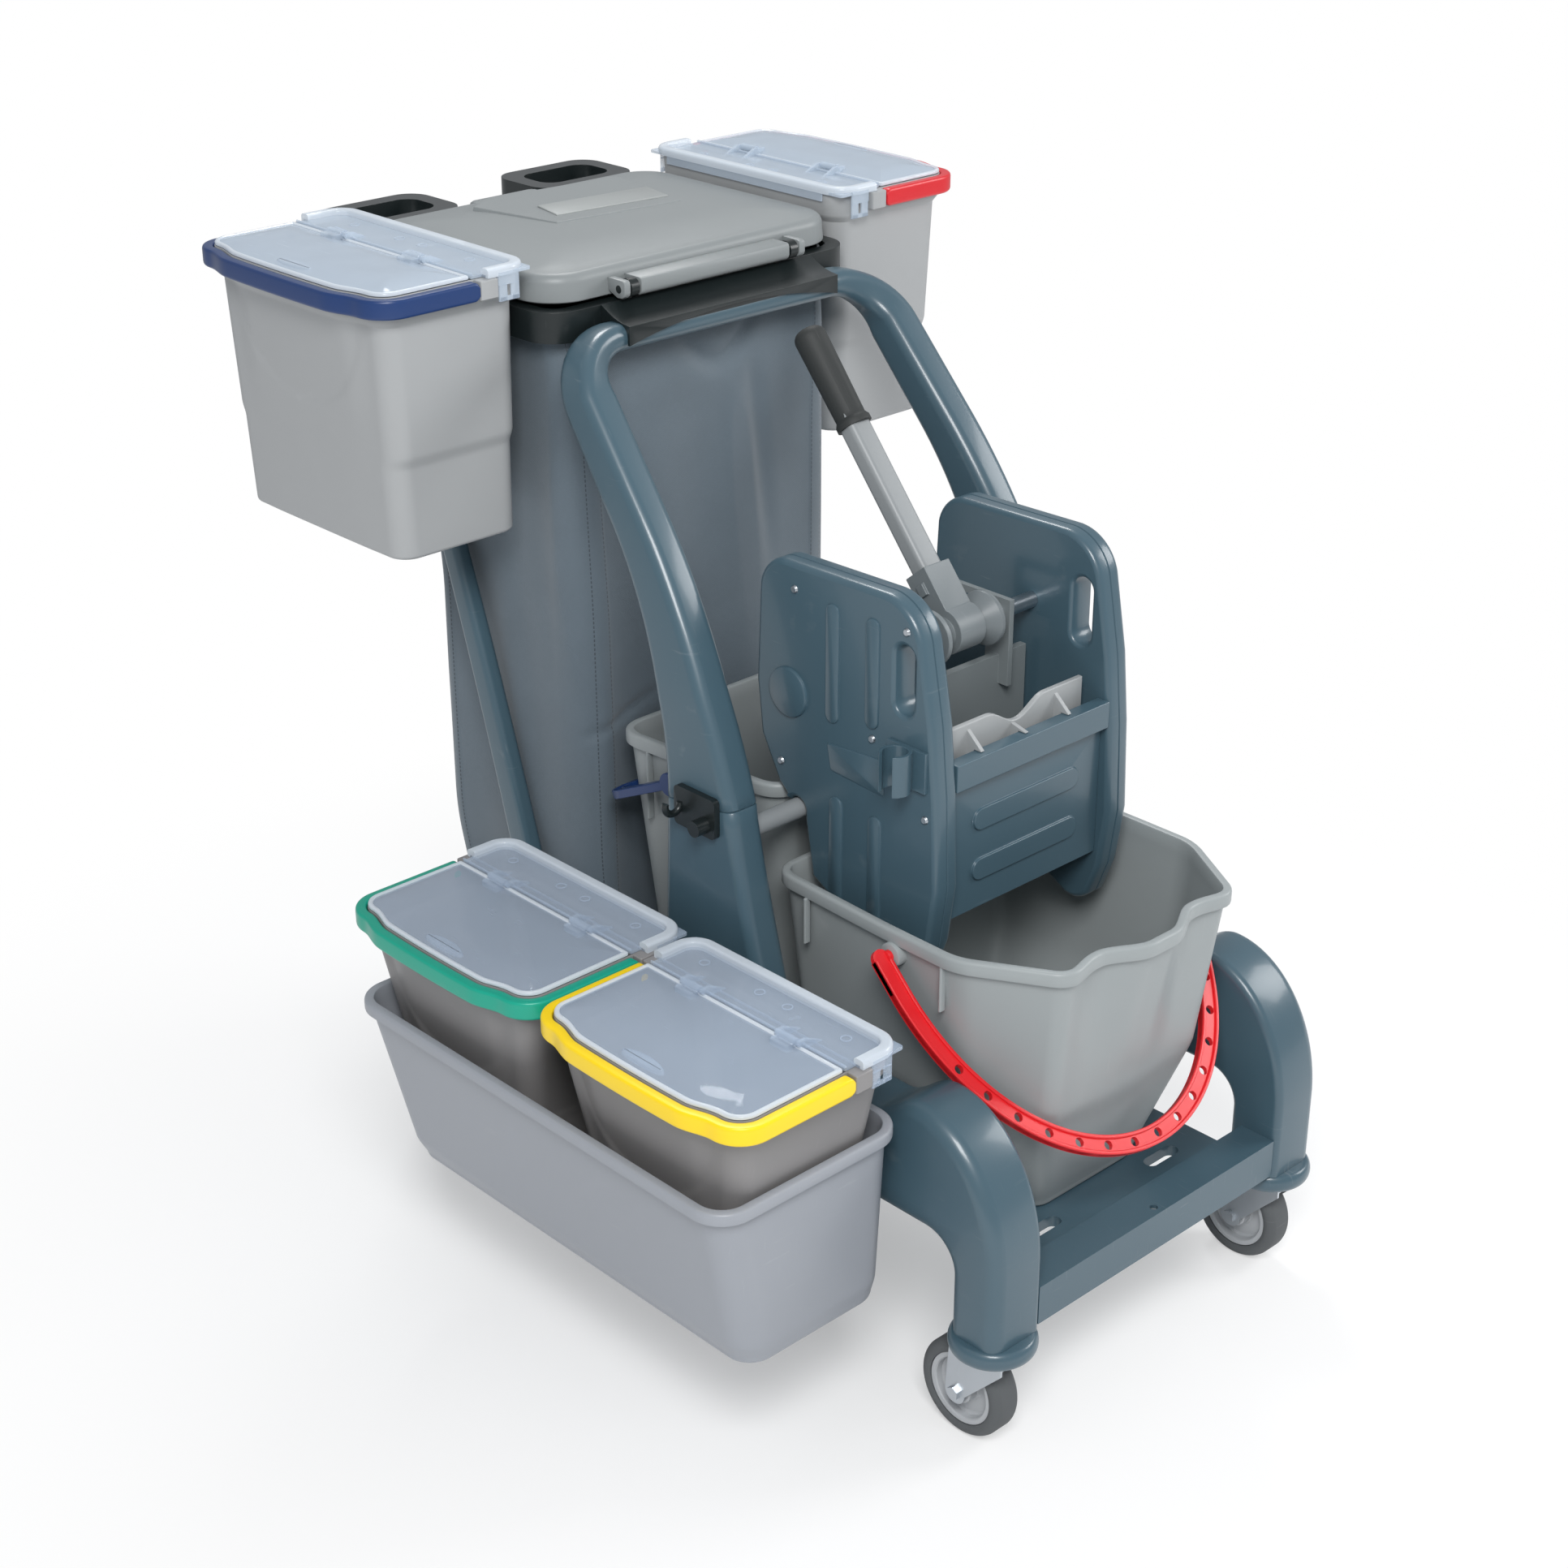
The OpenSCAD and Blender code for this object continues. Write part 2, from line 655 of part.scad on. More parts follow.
function bag_outline(half, y0, y1) = round_rect(-half, y0, half, y1, 24, 4);
bag_rings = [[bag_low_z, bag_outline(bag_foot - 14, bag_y0 + 14, bag_y1 - 12)],
    [bag_low_z + 26, bag_outline(bag_foot - 3, bag_y0 + 3, bag_y1 + 2)],
    [beam_top_z + 3, bag_outline(bag_foot, bag_y0, bag_y1 + 8)],
    [beam_top_z + 40, bag_outline(bag_half, bag_y0, bag_y1 + 8)],
    [bag_low_z + 400, bag_outline(bag_half, bag_y0, bag_y1)],
    [frame_z - 50, bag_outline(bag_half, bag_y0 + 6, mouth_y1 - 24)],
    [frame_z - 3, bag_outline(mouth_half, mouth_y0, mouth_y1)],
    [cover_top - 2, bag_outline(mouth_half, mouth_y0, mouth_y1)]];

module bag() {
    n = len(bag_rings);
    color(cloth)
        skin(concat([for (r = bag_rings) level(r[1], r[0])],
            [for (i = [n - 1:-1:1]) level(inset(bag_rings[i][1], bag_wall), bag_rings[i][0])],
            [level(inset(bag_rings[0][1], bag_wall), bag_low_z + bag_wall)]));
}

hook_plate_y = 338;
hook_plate_z = split_z - 3;

module hook_plate() {
    plate_w = 56;
    plate_h = 40;
    plate_d = 7;
    hook_r = 9.5;
    bar = 3.5;
    color(black) mirror([1, 0, 0]) {
        along_x(side_out + seat, side_out + plate_d) translate([hook_plate_y, hook_plate_z])
            rounded_plate(-plate_w / 2, -plate_h / 2, plate_w / 2, plate_h / 2, 5);
        translate([side_out + plate_d + hook_r - 1, hook_plate_y + plate_w / 2 - 8, hook_plate_z + 4])
            rotate([90, 0, 0]) rotate([0, 0, 180]) rotate_extrude(angle = 200) translate([hook_r, 0])
                circle(bar);
        translate([side_out + plate_d - 1, hook_plate_y - plate_w / 2 + 14, hook_plate_z - 8])
            rotate([0, 90, 0]) cylinder(h = 15, r = 8);
    }
}

// Buckets

// Half of the front bucket's plan, from the middle of its back to the middle of its spout
function bucket_half(back_w, side_w, corner_w, y_back, y_side, y_chamfer, y_front, spout) = concat(
    arc([back_w - 22, y_back - 22], 22, 90, 20, 4),
    [[side_w, y_side], [side_w, y_chamfer], [corner_w, y_front]],
    [for (k = [0, 0.3, 0.6, 1]) [52 - 52 * k * 0.98, y_front - 4 - spout * sin(90 * k)]]);
// Whole plan, counter-clockwise seen from above
function whole(half) = concat([for (i = [len(half) - 1:-1:0]) half[i]], [for (p = half) [-p.x, p.y]]);

rim_low = 14;
fb_z = deck_low_z + seat;
fb_top = fb_z + front_bucket_h;
fb_rim = whole(bucket_half(160, 166, 115, 312, 160, 76, -10, 16));
fb_mid = whole(bucket_half(147, 151, 106, 302, 160, 80, 8, 5));
fb_low = whole(bucket_half(96, 98, 68, 284, 160, 100, 46, 3));
fb_levels = [[fb_z, inset(fb_low, 5)], [fb_z + 5, fb_low], [fb_z + 132, fb_mid], [fb_top - rim_low, fb_rim]];

module bucket(levels, outline, top) {
    n = len(levels);
    skin(concat([for (r = levels) level(r[1], r[0])],
        [level(inset(outline, -rim_w), top - rim_low), level(inset(outline, -rim_w), top - 3),
         level(inset(outline, -rim_w + 3), top), level(inset(outline, bucket_wall - 1), top),
         level(inset(outline, bucket_wall), top - 3)],
        [for (i = [n - 1:-1:1]) level(inset(levels[i][1], bucket_wall), levels[i][0])],
        [level(inset(levels[0][1], bucket_wall), levels[0][0] + bucket_wall)]));
}

fb_pivot = [150, fb_top - 24];
bail_gap = 0.5;
pivot_d = 12;
boss_d = 24;
fb_boss_x = 166 + rim_w + 4;
fb_arm_x = fb_boss_x + bail_gap;

// Bosses on both sides that carry a bail's pins
module bail_bosses(y, z, x_in, x_out) {
    both_sides() along_x(x_in, x_out) translate([y, z]) circle(d = boss_d);
}

module bail_bores(y, z, x_in, x_out) {
    both_sides() along_x(x_in, x_out) translate([y, z]) circle(pivot_d / 2 + run);
}

module front_bucket() {
    color(grey) difference() {
        union() {
            bucket(fb_levels, fb_rim, fb_top);
            bail_bosses(fb_pivot.x, fb_pivot.y, 161, fb_boss_x);
        }
        bail_bores(fb_pivot.x, fb_pivot.y, fb_boss_x - 9, fb_boss_x + 1);
    }
}

// Rear bail lying in its own plane: pins on the X axis, round corners, bow towards -Y
module bail_pins(arm_x) {
    both_sides() translate([arm_x, 0, 0]) rotate([0, 90, 0]) {
        cylinder(h = bail_w * 0.6, r = bail_w * 0.55);
        translate([0, 0, -8]) cylinder(h = 8 + bail_w * 0.3, d = pivot_d);
    }
}

module square_bail(arm_x, arm_l, corner_r) {
    mid = arm_x - corner_r;
    both_sides() {
        translate([arm_x, -arm_l, -bail_t / 2]) cube([bail_w * 0.6, arm_l, bail_t]);
        translate([mid, -arm_l, 0]) rotate([0, 0, -90])
            rotate_extrude(angle = 90) translate([corner_r, -bail_t / 2]) bail_section();
    }
    translate([-mid, -arm_l - corner_r, 0]) rotate([0, 90, 0]) linear_extrude(2 * mid)
        translate([-bail_t / 2, 0]) rotate(-90) bail_section();
    bail_pins(arm_x);
}

module bail_section() {
    difference() {
        square([bail_w * 0.6, bail_t]);
        translate([3, bail_t - 2]) square([bail_w * 0.6 - 6, 3]);
    }
}

// Front bail: a grooved channel along two straight arms and an elliptic bow, with a row of holes
function bow_at(arm_x, arm_l, bow_l, a) = [arm_x * cos(a), -arm_l - bow_l * sin(a), 0];
function bow_out(arm_x, bow_l, a) = unit([bow_l * cos(a), -arm_x * sin(a), 0]);
bail_channel = [[0, 0], [1, 0], [1, 1], [0.78, 1], [0.78, 0.75], [0.22, 0.75], [0.22, 1], [0, 1]];
bail_end = [[0, 0], [1, 0], [1, 1], [0.78, 1.02], [0.6, 1.03], [0.4, 1.03], [0.22, 1.02], [0, 1]];
function bail_ring(p, out, section) =
    [for (q = section) p + out * bail_w * 0.6 * q.x + [0, 0, bail_t * (q.y - 0.5)]];

module bow_bail(arm_x, arm_l, bow_l, holes, hole_step) {
    steps = 32;
    right = [arm_x, 0, 0];
    left = [-arm_x, 0, 0];
    difference() {
        union() {
            skin(concat([bail_ring(right, [1, 0, 0], bail_end),
                bail_ring(right - [0, 12, 0], [1, 0, 0], bail_channel)],
                [for (i = [0:steps]) let (a = 180 * i / steps)
                    bail_ring(bow_at(arm_x, arm_l, bow_l, a), bow_out(arm_x, bow_l, a), bail_channel)],
                [bail_ring(left - [0, 12, 0], [-1, 0, 0], bail_channel),
                    bail_ring(left, [-1, 0, 0], bail_end)]));
            bail_pins(arm_x);
        }
        for (i = [0:holes - 1]) let (a = 90 + (i - (holes - 1) / 2) * hole_step)
            translate(bow_at(arm_x, arm_l, bow_l, a) + bow_out(arm_x, bow_l, a) * bail_w
                * 0.3 - [0, 0, bail_t])
                cylinder(h = 2 * bail_t, d = 7);
    }
}

fb_bail_tilt = 45;
fb_bail_arm = 34;
fb_bail_bow = 216;

module front_bail() {
    color("#c8252f")
        translate([0, fb_pivot.x, fb_pivot.y]) rotate([fb_bail_tilt, 0, 0])
            bow_bail(fb_arm_x, fb_bail_arm, fb_bail_bow, 13, 10.5);
}

rb_z = deck_high_z + seat;
rb_top = rb_z + rear_bucket_h;
rb_y0 = bucket_gap_y + 18;
rb_y1 = bag_y0 - 30;
rb_front_w = 136;
rb_back_w = 156;

function rb_outline(in_f, in_s) = let (f = rb_front_w - in_s, b = rb_back_w - in_s, y0 = rb_y0 + in_f,
    y1 = rb_y1 - in_f)
    concat(arc([f - 24, y0 + 24], 24, -90, -5, 4), arc([b - 28, y1 - 28], 28, -5, 90, 5),
        arc([-b + 28, y1 - 28], 28, 90, 185, 5), arc([-f + 24, y0 + 24], 24, 185, 270, 4));
rb_levels = [[rb_z, rb_outline(25, 29)], [rb_z + 5, rb_outline(20, 24)], [rb_z + 150, rb_outline(10, 11)],
    [rb_top - rim_low, rb_outline(0, 0)]];
rb_pivot = [rb_y0 + 112, rb_top - 24];
rb_boss_x = rb_back_w + rim_w + 3;
rb_arm_x = rb_boss_x + bail_gap;
rb_reach = rb_y1 + rim_w + 3 - rb_pivot.x;
rb_bail_r = 24;

module rear_bucket() {
    color(grey) difference() {
        union() {
            bucket(rb_levels, rb_outline(0, 0), rb_top);
            bail_bosses(rb_pivot.x, rb_pivot.y, 143, rb_boss_x);
        }
        bail_bores(rb_pivot.x, rb_pivot.y, rb_boss_x - 9, rb_boss_x + 1);
    }
}

rb_bail_tilt = 26;

module rear_bail() {
    color("#1f3f7d")
        translate([0, rb_pivot.x, rb_pivot.y]) rotate([0, 0, 180]) rotate([rb_bail_tilt, 0, 0])
            square_bail(rb_arm_x, rb_reach - rb_bail_r, rb_bail_r);
}

// Tub

tub_x1 = -side_out - 12;
tub_x0 = tub_x1 - tub_w;
tub_z = beam_top_z + 22 - tub_h;
tub_top = tub_z + tub_h;
tub_y0 = 50;
tub_y1 = tub_y0 + tub_l;
tub_wall = 3;
tub_rim = 7;

function tub_outline(side, out, ends) =
    round_rect(tub_x0 + out, tub_y0 + ends, tub_x1 - side, tub_y1 - ends, 26, 4);
tub_levels = [[tub_z, tub_outline(12, 56, 30)], [tub_z + 8, tub_outline(8, 50, 20)],
    [tub_z + 24, tub_outline(tub_rim, 42, 16)], [tub_top - 12, tub_outline(tub_rim, tub_rim, tub_rim)]];

module tub() {
    rim = tub_outline(tub_rim, tub_rim, tub_rim);
    n = len(tub_levels);
    color(pale) {
        skin(concat([for (r = tub_levels) level(r[1], r[0])],
            [level(inset(rim, -tub_rim), tub_top - 12), level(inset(rim, -tub_rim), tub_top - 4),
             level(inset(rim, -tub_rim + 3), tub_top), level(inset(rim, 0), tub_top),
             level(inset(rim, tub_wall), tub_top - 4)],
            [for (i = [n - 2:-1:2]) level(inset(tub_levels[i][1], tub_wall), tub_levels[i][0] + 2)],
            [level(inset(tub_levels[2][1], tub_wall + 3), tub_levels[2][0])]));
        for (y = hook_ys) {
            translate([tub_x1 - tub_rim - 2.5, y - hook_w / 2, beam_top_z + seat])
                cube([hook_leg / 2 - hook_x - tub_x1 + tub_rim + 2.5, hook_w, 5]);
            translate([-hook_x - hook_leg / 2, y - hook_w / 2, beam_top_z - hook_drop])
                cube([hook_leg, hook_w, hook_drop + seat + 5]);
        }
    }
}

// Caddy boxes: x runs from the hinge side to the front, y along the length, z up from the floor

// A box is [half length, depth, floor inset at the ends, at the back, at the front,
// share of it above the step]
hung_box = [box_l / 2, box_d, 13, 7, 15, 0.35];
tub_box = [tub_box_l / 2, tub_box_d, 36, 12, 32, 0.8];
step_z = 96;
pivot_x = 70;
pivot_z = box_h - box_bar_h / 2;
box_pin_d = 8;
box_boss = 7;
bar_gap = 0.6;
block_x0 = 40;
handle_bow = 6;
flange = 5;

// Plan of a box: rounded corners, and a front edge that bows out in a soft wave
function box_outline(b, back, front, ends, bow) = let (r = 22, x = b[1] - front, y = b[0] - ends) concat(
    arc([x - r, r - y], r, -90, 0, 5),
    [for (i = [1:7]) let (k = i / 4 - 1) [x + bow * (1 + cos(180 * k)) / 2, k * (y - r)]],
    arc([x - r, y - r], r, 0, 90, 5), arc([back + r, y - r], r, 90, 180, 5),
        arc([back + r, r - y], r, 180, 270, 5));
// Plan at a share k of the way from the flange to the floor
function box_wall_outline(b, k, bow) = let (f = flange)
    box_outline(b, f + (b[3] - f) * k, f + (b[4] - f) * k, f + (b[2] - f) * k, bow);
function box_rim(b) = box_outline(b, 0, 0, 0, handle_bow);
function box_levels(b) = [[0, inset(box_wall_outline(b, 1, 0.4), 4)], [4, box_wall_outline(b, 1, 0.4)],
    [step_z - 6, box_wall_outline(b, max(0.85, b[5] + 0.04), 0.4)],
        [step_z + 6, box_wall_outline(b, b[5], 0.6)],
    [box_h - box_bar_h - 12, box_wall_outline(b, 0, handle_bow - 1)],
    [box_h - box_bar_h - 5, box_outline(b, 0.6, 1, 1, handle_bow)], [box_h, box_rim(b)]];

module box_body(b) {
    levels = box_levels(b);
    n = len(levels);
    half = b[0];
    difference() {
        union() {
            skin(concat([for (r = levels) level(r[1], r[0])],
                [for (i = [n - 1:-1:1]) level(inset(levels[i][1], box_wall), levels[i][0])],
                [level(inset(levels[0][1], box_wall), box_wall)]));
            for (s = [-1, 1]) {
                translate([pivot_x, s * (half - 1.5), pivot_z]) rotate([s * 90, 0, 0])
                    cylinder(h = box_boss, r = box_pin_d / 2 + 3);
                translate([block_x0, s > 0 ? half - 1.5 : -half - box_bar - bar_gap, box_h - box_bar_h])
                    cube([pivot_x - box_bar_h / 2 - 1 - block_x0, box_bar + bar_gap + 1.5, box_bar_h]);
            }
        }
        translate([pivot_x, 0, pivot_z]) rotate([90, 0, 0])
            cylinder(h = 2 * half + 4, d = box_pin_d + 2 * run, center = true);
    }
}

module box_handle(b) {
    out_y = b[0] + bar_gap + box_bar;
    translate([0, 0, box_h - box_bar_h]) linear_extrude(box_bar_h) difference() {
        intersection() {
            polygon(inset(box_rim(b), -bar_gap - box_bar));
            translate([pivot_x, -out_y - 1]) square([b[1], 2 * out_y + 2]);
        }
        polygon(inset(box_rim(b), -bar_gap));
    }
    for (s = [-1, 1]) {
        translate([pivot_x, s * (out_y - box_bar / 2), pivot_z]) rotate([90, 0, 0])
            cylinder(h = box_bar, d = box_bar_h, center = true);
        translate([pivot_x, s * (out_y - 1), pivot_z]) rotate([s * 90, 0, 0])
            cylinder(h = box_bar + bar_gap + 4, d = box_pin_d);
    }
}

lid_t = 3;
lid_gap = seat;
lid_x1 = 62;
wing_x1 = 50;
wing = 8;
flap_hinge = [67, box_h + 7.5];
knuckle_r = 4.5;
knuckle_y = 62;
knuckle_l = 22;
flap_pin_d = 4;
flap_x0 = 68;
flap_inset = 5;
lid_lip = 8;
lid_border = 12;

module box_lid(b) {
    half = b[0];
    clip_w = 24;
    clip_t = 2.5;
    difference() {
        union() {
            translate([0, 0, box_h + lid_gap]) linear_extrude(lid_t) lid_plan(half, 0);
            translate([0, 0, box_h + lid_gap]) linear_extrude(lid_t + lid_lip) difference() {
                lid_plan(half, 0);
                lid_plan(half, lid_border);
            }
            translate([-3, -half + 21, box_h - 8]) cube([2.5, 2 * half - 42, 9]);
            for (s = [-1, 1]) {
                translate([20, s > 0 ? half + wing - clip_t : -half - wing, box_h - 9])
                    cube([18, clip_t, 9 + lid_t]);
                translate([block_x0 - 3 - clip_w, s > 0 ? half + wing - clip_t : -half - wing, box_h - 24])
                    cube([clip_w, clip_t, 24 + lid_t]);
                for (e = [-1, 1])
                    translate([0, s * knuckle_y + e * (knuckle_l / 2 + 2.5) + 2, 0]) rotate([90, 0, 0])
                        linear_extrude(4) lid_lug();
                translate([flap_hinge.x, s * knuckle_y, flap_hinge.y]) rotate([90, 0, 0])
                    cylinder(h = knuckle_l + 9, d = flap_pin_d, center = true);
            }
        }
        for (s = [-1, 1])
            translate([lid_x1 - 8, s * knuckle_y - knuckle_l / 2 - 0.4, box_h])
                cube([9, knuckle_l + 0.8, 12]);
    }
}

// Plan of the fixed lid: wide with round corners at the back, narrower where the flap begins
module lid_plan(half, border) {
    back = border - 3;
    wide = half + wing - border;
    intersection() {
        rounded_plate(back, -wide, lid_x1 + 30, wide, 26 - border);
        translate([back, -wide]) square([wing_x1 - border - back, 2 * wide]);
    }
    translate([back + 20, border + 1 - half]) square([lid_x1 + border - back - 20, 2 * (half - border - 1)]);
}

// Lug on the fixed lid that holds one end of the flap's pin
module lid_lug() {
    reach = flap_pin_d / 2 + 1;
    polygon([[lid_x1 - 10, box_h + 1], [lid_x1 - 1, box_h + 1], [flap_hinge.x + 1, flap_hinge.y - reach],
        [flap_hinge.x + reach, flap_hinge.y - 1], [flap_hinge.x + reach - 1, flap_hinge.y + reach],
        [lid_x1 - 4, flap_hinge.y + reach]]);
}

// Plan of the flap: the box's own rim, moved in, from x0 to the bowed front
module flap_plan(b, border, x0) {
    intersection() {
        polygon(inset(box_rim(b), border));
        translate([x0, border + 2 - b[0]]) square([b[1], 2 * (b[0] - border - 2)]);
    }
}

module box_flap(b) {
    rim_h = 2;
    difference() {
        union() {
            translate([0, 0, box_h + lid_gap]) linear_extrude(lid_t) flap_plan(b, flap_inset, flap_x0);
            translate([0, 0, box_h + lid_gap]) linear_extrude(lid_t + rim_h)
                flap_plan(b, flap_inset + 17, flap_x0 + 16);
            for (s = [-1, 1]) {
                translate([flap_hinge.x, s * knuckle_y, flap_hinge.y]) rotate([90, 0, 0])
                    cylinder(h = knuckle_l, r = knuckle_r, center = true);
                translate([flap_hinge.x, s * knuckle_y - knuckle_l / 2, box_h + lid_gap + 1])
                    cube([9, knuckle_l, knuckle_r + 4]);
            }
        }
        for (s = [-1, 1])
            translate([flap_hinge.x, s * knuckle_y, flap_hinge.y]) rotate([90, 0, 0])
                cylinder(h = knuckle_l + 1, d = flap_pin_d + 2 * run, center = true);
    }
}

// Hooks that hang a box on the bag frame's hanger plate
module box_hooks() {
    top = hanger_top + seat - side_box_z;
    for (y = [-60, 60])
        translate([0, y - 15, 0]) {
            translate([-hanger_t - seat - 6, 0, top]) cube([hanger_t + seat + 7, 30, 4]);
            translate([-hanger_t - seat - 6, 0, top - 9]) cube([3, 30, 10]);
        }
}

side_box_x = frame_w / 2 + hanger_t + seat;
side_box_z = hanger_top + 28 - box_h;
tub_box_x = tub_x1 - 22;
tub_box_z = tub_levels[2][0] + seat;
tub_pitch = tub_box_l + 2 * (box_bar + bar_gap) + 1.5;
tub_mid_y = (tub_y0 + tub_y1) / 2;

module at_blue() {
    translate([-side_box_x, box_y, side_box_z]) rotate([0, 0, 180]) children();
}

module at_red() {
    translate([side_box_x, box_y, side_box_z]) children();
}

module at_green() {
    translate([tub_box_x, tub_mid_y + tub_pitch / 2, tub_box_z]) rotate([0, 0, 180]) children();
}

module at_yellow() {
    translate([tub_box_x, tub_mid_y - tub_pitch / 2, tub_box_z]) rotate([0, 0, 180]) children();
}

module blue_box() {
    color(grey) at_blue() {
        box_body(hung_box);
        box_hooks();
    }
}
module red_box() {
    color(grey) at_red() {
        box_body(hung_box);
        box_hooks();
    }
}
module green_box() { color(grey) at_green() box_body(tub_box); }
module yellow_box() { color(grey) at_yellow() box_body(tub_box); }
module blue_handle() { color("#20407f") at_blue() box_handle(hung_box); }
module red_handle() { color("#d5262b") at_red() box_handle(hung_box); }
module green_handle() { color("#1f9b6c") at_green() box_handle(tub_box); }
module yellow_handle() { color("#f5cf12") at_yellow() box_handle(tub_box); }
module blue_lid() { color(clear) at_blue() box_lid(hung_box); }
module red_lid() { color(clear) at_red() box_lid(hung_box); }
module green_lid() { color(clear) at_green() box_lid(tub_box); }
module yellow_lid() { color(clear) at_yellow() box_lid(tub_box); }
module blue_flap() { color(clear) at_blue() box_flap(hung_box); }
module red_flap() { color(clear) at_red() box_flap(hung_box); }
module green_flap() { color(clear) at_green() box_flap(tub_box); }
module yellow_flap() { color(clear) at_yellow() box_flap(tub_box); }

// Wringer

shaft_y = 240;
shaft_z = 682;
slot_at = [178, 687];
plate_edge = 4;

// Side view of a wringer plate, counter-clockwise with Y to the right
function plate_outline() = concat(
    arc([174, 410], 26, 215, 300, 4), [[296, 447], [tube_y - tube_d / 2 - seat, tube_z - 8]],
    arc([tube_y, tube_z], tube_d / 2 + seat, 180, 25, 8),
    [[342, 532], [366, 576]],
    arc([332, 632], 40, -10, 0, 2), arc([330, 722], 38, 10, 85, 6),
    arc([206, 713], 50, 93, 165, 6),
    [[143, 650], [136, 580], [132, 490], [140, 430]]);

module wringer_plate() {
    difference() {
        union() {
            along_x(plate_x, plate_x + plate_edge) polygon(inset(plate_outline(), plate_edge));
            along_x(plate_x + plate_edge, plate_x + plate_t - plate_edge) polygon(plate_outline());
            along_x(plate_x + plate_t - plate_edge, plate_x + plate_t)
                polygon(inset(plate_outline(), plate_edge));
            along_x(plate_x + plate_t - 1, plate_x + plate_t + 1.5) {
                for (p = [[268, 676, 118], [217, 682, 108], [262, 488, 110], [211, 486, 110]])
                    translate([p.x, p.y]) rotate(90) stadium(p.z, 16);
            }
            along_x(plate_x + plate_t - 1, plate_x + plate_t + 3) translate([326, 630]) circle(24);
        }
        along_x(plate_x - 1, plate_x + plate_t + 1) translate(slot_at) rotate(90) stadium(68, 24);
    }
}

module wringer_left_plate() { color(slate) mirror([1, 0, 0]) wringer_plate(); }
module wringer_right_plate() { color(slate) wringer_plate(); }

panel_low_z = 445;
panel_bar_z = 580;
panel_bar_h = 27;
panel_y = 146;
panel_t = 6;

module wringer_front_panel() {
    color(slate) {
        translate([-plate_x, panel_y - 9, panel_bar_z]) cube([2 * plate_x, 9 + panel_t, panel_bar_h]);
        translate([-plate_x, panel_y, panel_low_z])
            cube([2 * plate_x, panel_t, panel_bar_z - panel_low_z + 1]);
        for (z = [486, 538])
            translate([0, panel_y + 1, z]) rotate([90, 0, 0]) linear_extrude(3.5) stadium(146, 22);
    }
}

jaw_half = 92;
jaw_t = 6;
jaw_y = panel_y + panel_t + 9;
jaw_low_z = 462;
jaw_top_z = 606;

module front_jaw() {
    color(pale) {
        translate([0, jaw_y + jaw_t, 0]) rotate([90, 0, 0]) linear_extrude(jaw_t)
            polygon(concat([[-jaw_half, jaw_low_z], [jaw_half, jaw_low_z], [jaw_half, jaw_top_z + 12]],
                [for (i = [0:10]) let (k = i / 10) [40 - 80 * k, jaw_top_z + 6 + 6 * cos(360 * k)]],
                [[-jaw_half, jaw_top_z + 12]]));
        for (x = [-60, 0, 60])
            along_x(x - 2, x + 2) polygon([[jaw_y + 1, jaw_top_z], [panel_y + panel_t, panel_bar_z - 20],
                [panel_y + panel_t, panel_low_z + 20], [jaw_y + 1, jaw_low_z]]);
    }
}

press_y = shaft_y - 4;
press_t = 8;
press_half = 95;
press_low_z = 466;
press_top_z = 640;
arm_x = 56;
arm_t = 6;

module press_plate() {
    slot_h = shaft_d + 2 * seat;
    color(pale) {
        translate([-press_half, press_y, press_low_z])
            cube([2 * press_half, press_t, press_top_z - press_low_z]);
        for (x = [-84, -arm_x - arm_t / 2, 0, arm_x + arm_t / 2, 84])
            along_x(x - arm_t / 2, x + arm_t / 2)
                polygon([[press_y + 1, press_low_z], [press_y + press_t + 10, press_low_z + 30],
                    [press_y + press_t + 10, press_top_z - 10], [press_y + 1, press_top_z]]);
        for (s = [-1, 1])
            along_x(s * (arm_x + arm_t / 2) - arm_t / 2, s * (arm_x + arm_t / 2) + arm_t / 2) difference() {
                translate([shaft_y - 16, press_top_z - 30])
                    square([press_travel + 32, shaft_z + 16 - press_top_z + 30]);
                translate([shaft_y, shaft_z - slot_h / 2]) square([press_travel, slot_h]);
                for (d = [0, press_travel])
                    translate([shaft_y + d, shaft_z]) circle(slot_h / 2);
                translate([press_y + press_t + 10, press_top_z - 31]) square([press_travel + 40, 36]);
            }
    }
}

module lever_shaft() {
    color(zinc) translate([-plate_x, shaft_y, shaft_z]) rotate([0, 90, 0])
        cylinder(h = 2 * plate_x, d = shaft_d);
}

// The lever is drawn upright about the shaft, then leant back
module lever_place() {
    translate([0, shaft_y, shaft_z]) rotate([-lever_angle, 0, 0]) children();
}

hub_r = 22;
hub_half = 17;
socket_l = 62;
socket_w = 34;
socket_d = 30;
tube_w = 27;
tube_t = 21;
grip_r = 16;

module lever_hub() {
    color("#6f7678") lever_place() difference() {
        union() {
            rotate([0, 90, 0]) cylinder(h = 2 * hub_half, r = hub_r, center = true);
            for (s = [-1, 1])
                rotate([0, s * 90, 0]) {
                    cylinder(h = hub_half + 20, r = 14);
                    translate([0, 0, hub_half + 4]) cylinder(h = 13, r1 = 14, r2 = 27);
                    translate([0, 0, hub_half + 17]) cylinder(h = 5, r = 27);
                }
            translate([-socket_w / 2, -socket_d / 2, 0]) cube([socket_w, socket_d, socket_l]);
            translate([-socket_w / 2 - 3, -5, socket_l - 24]) cube([socket_w + 6, 10, 12]);
        }
        rotate([0, 90, 0]) cylinder(h = 4 * hub_half + 40, d = shaft_d + 2 * run, center = true);
        translate([0, 0, socket_l - 26]) linear_extrude(40) lever_section(seat);
    }
}

module lever_section(grow) {
    rounded_plate(-tube_w / 2 - grow, -tube_t / 2 - grow, tube_w / 2 + grow, tube_t / 2 + grow, 6 + grow);
}

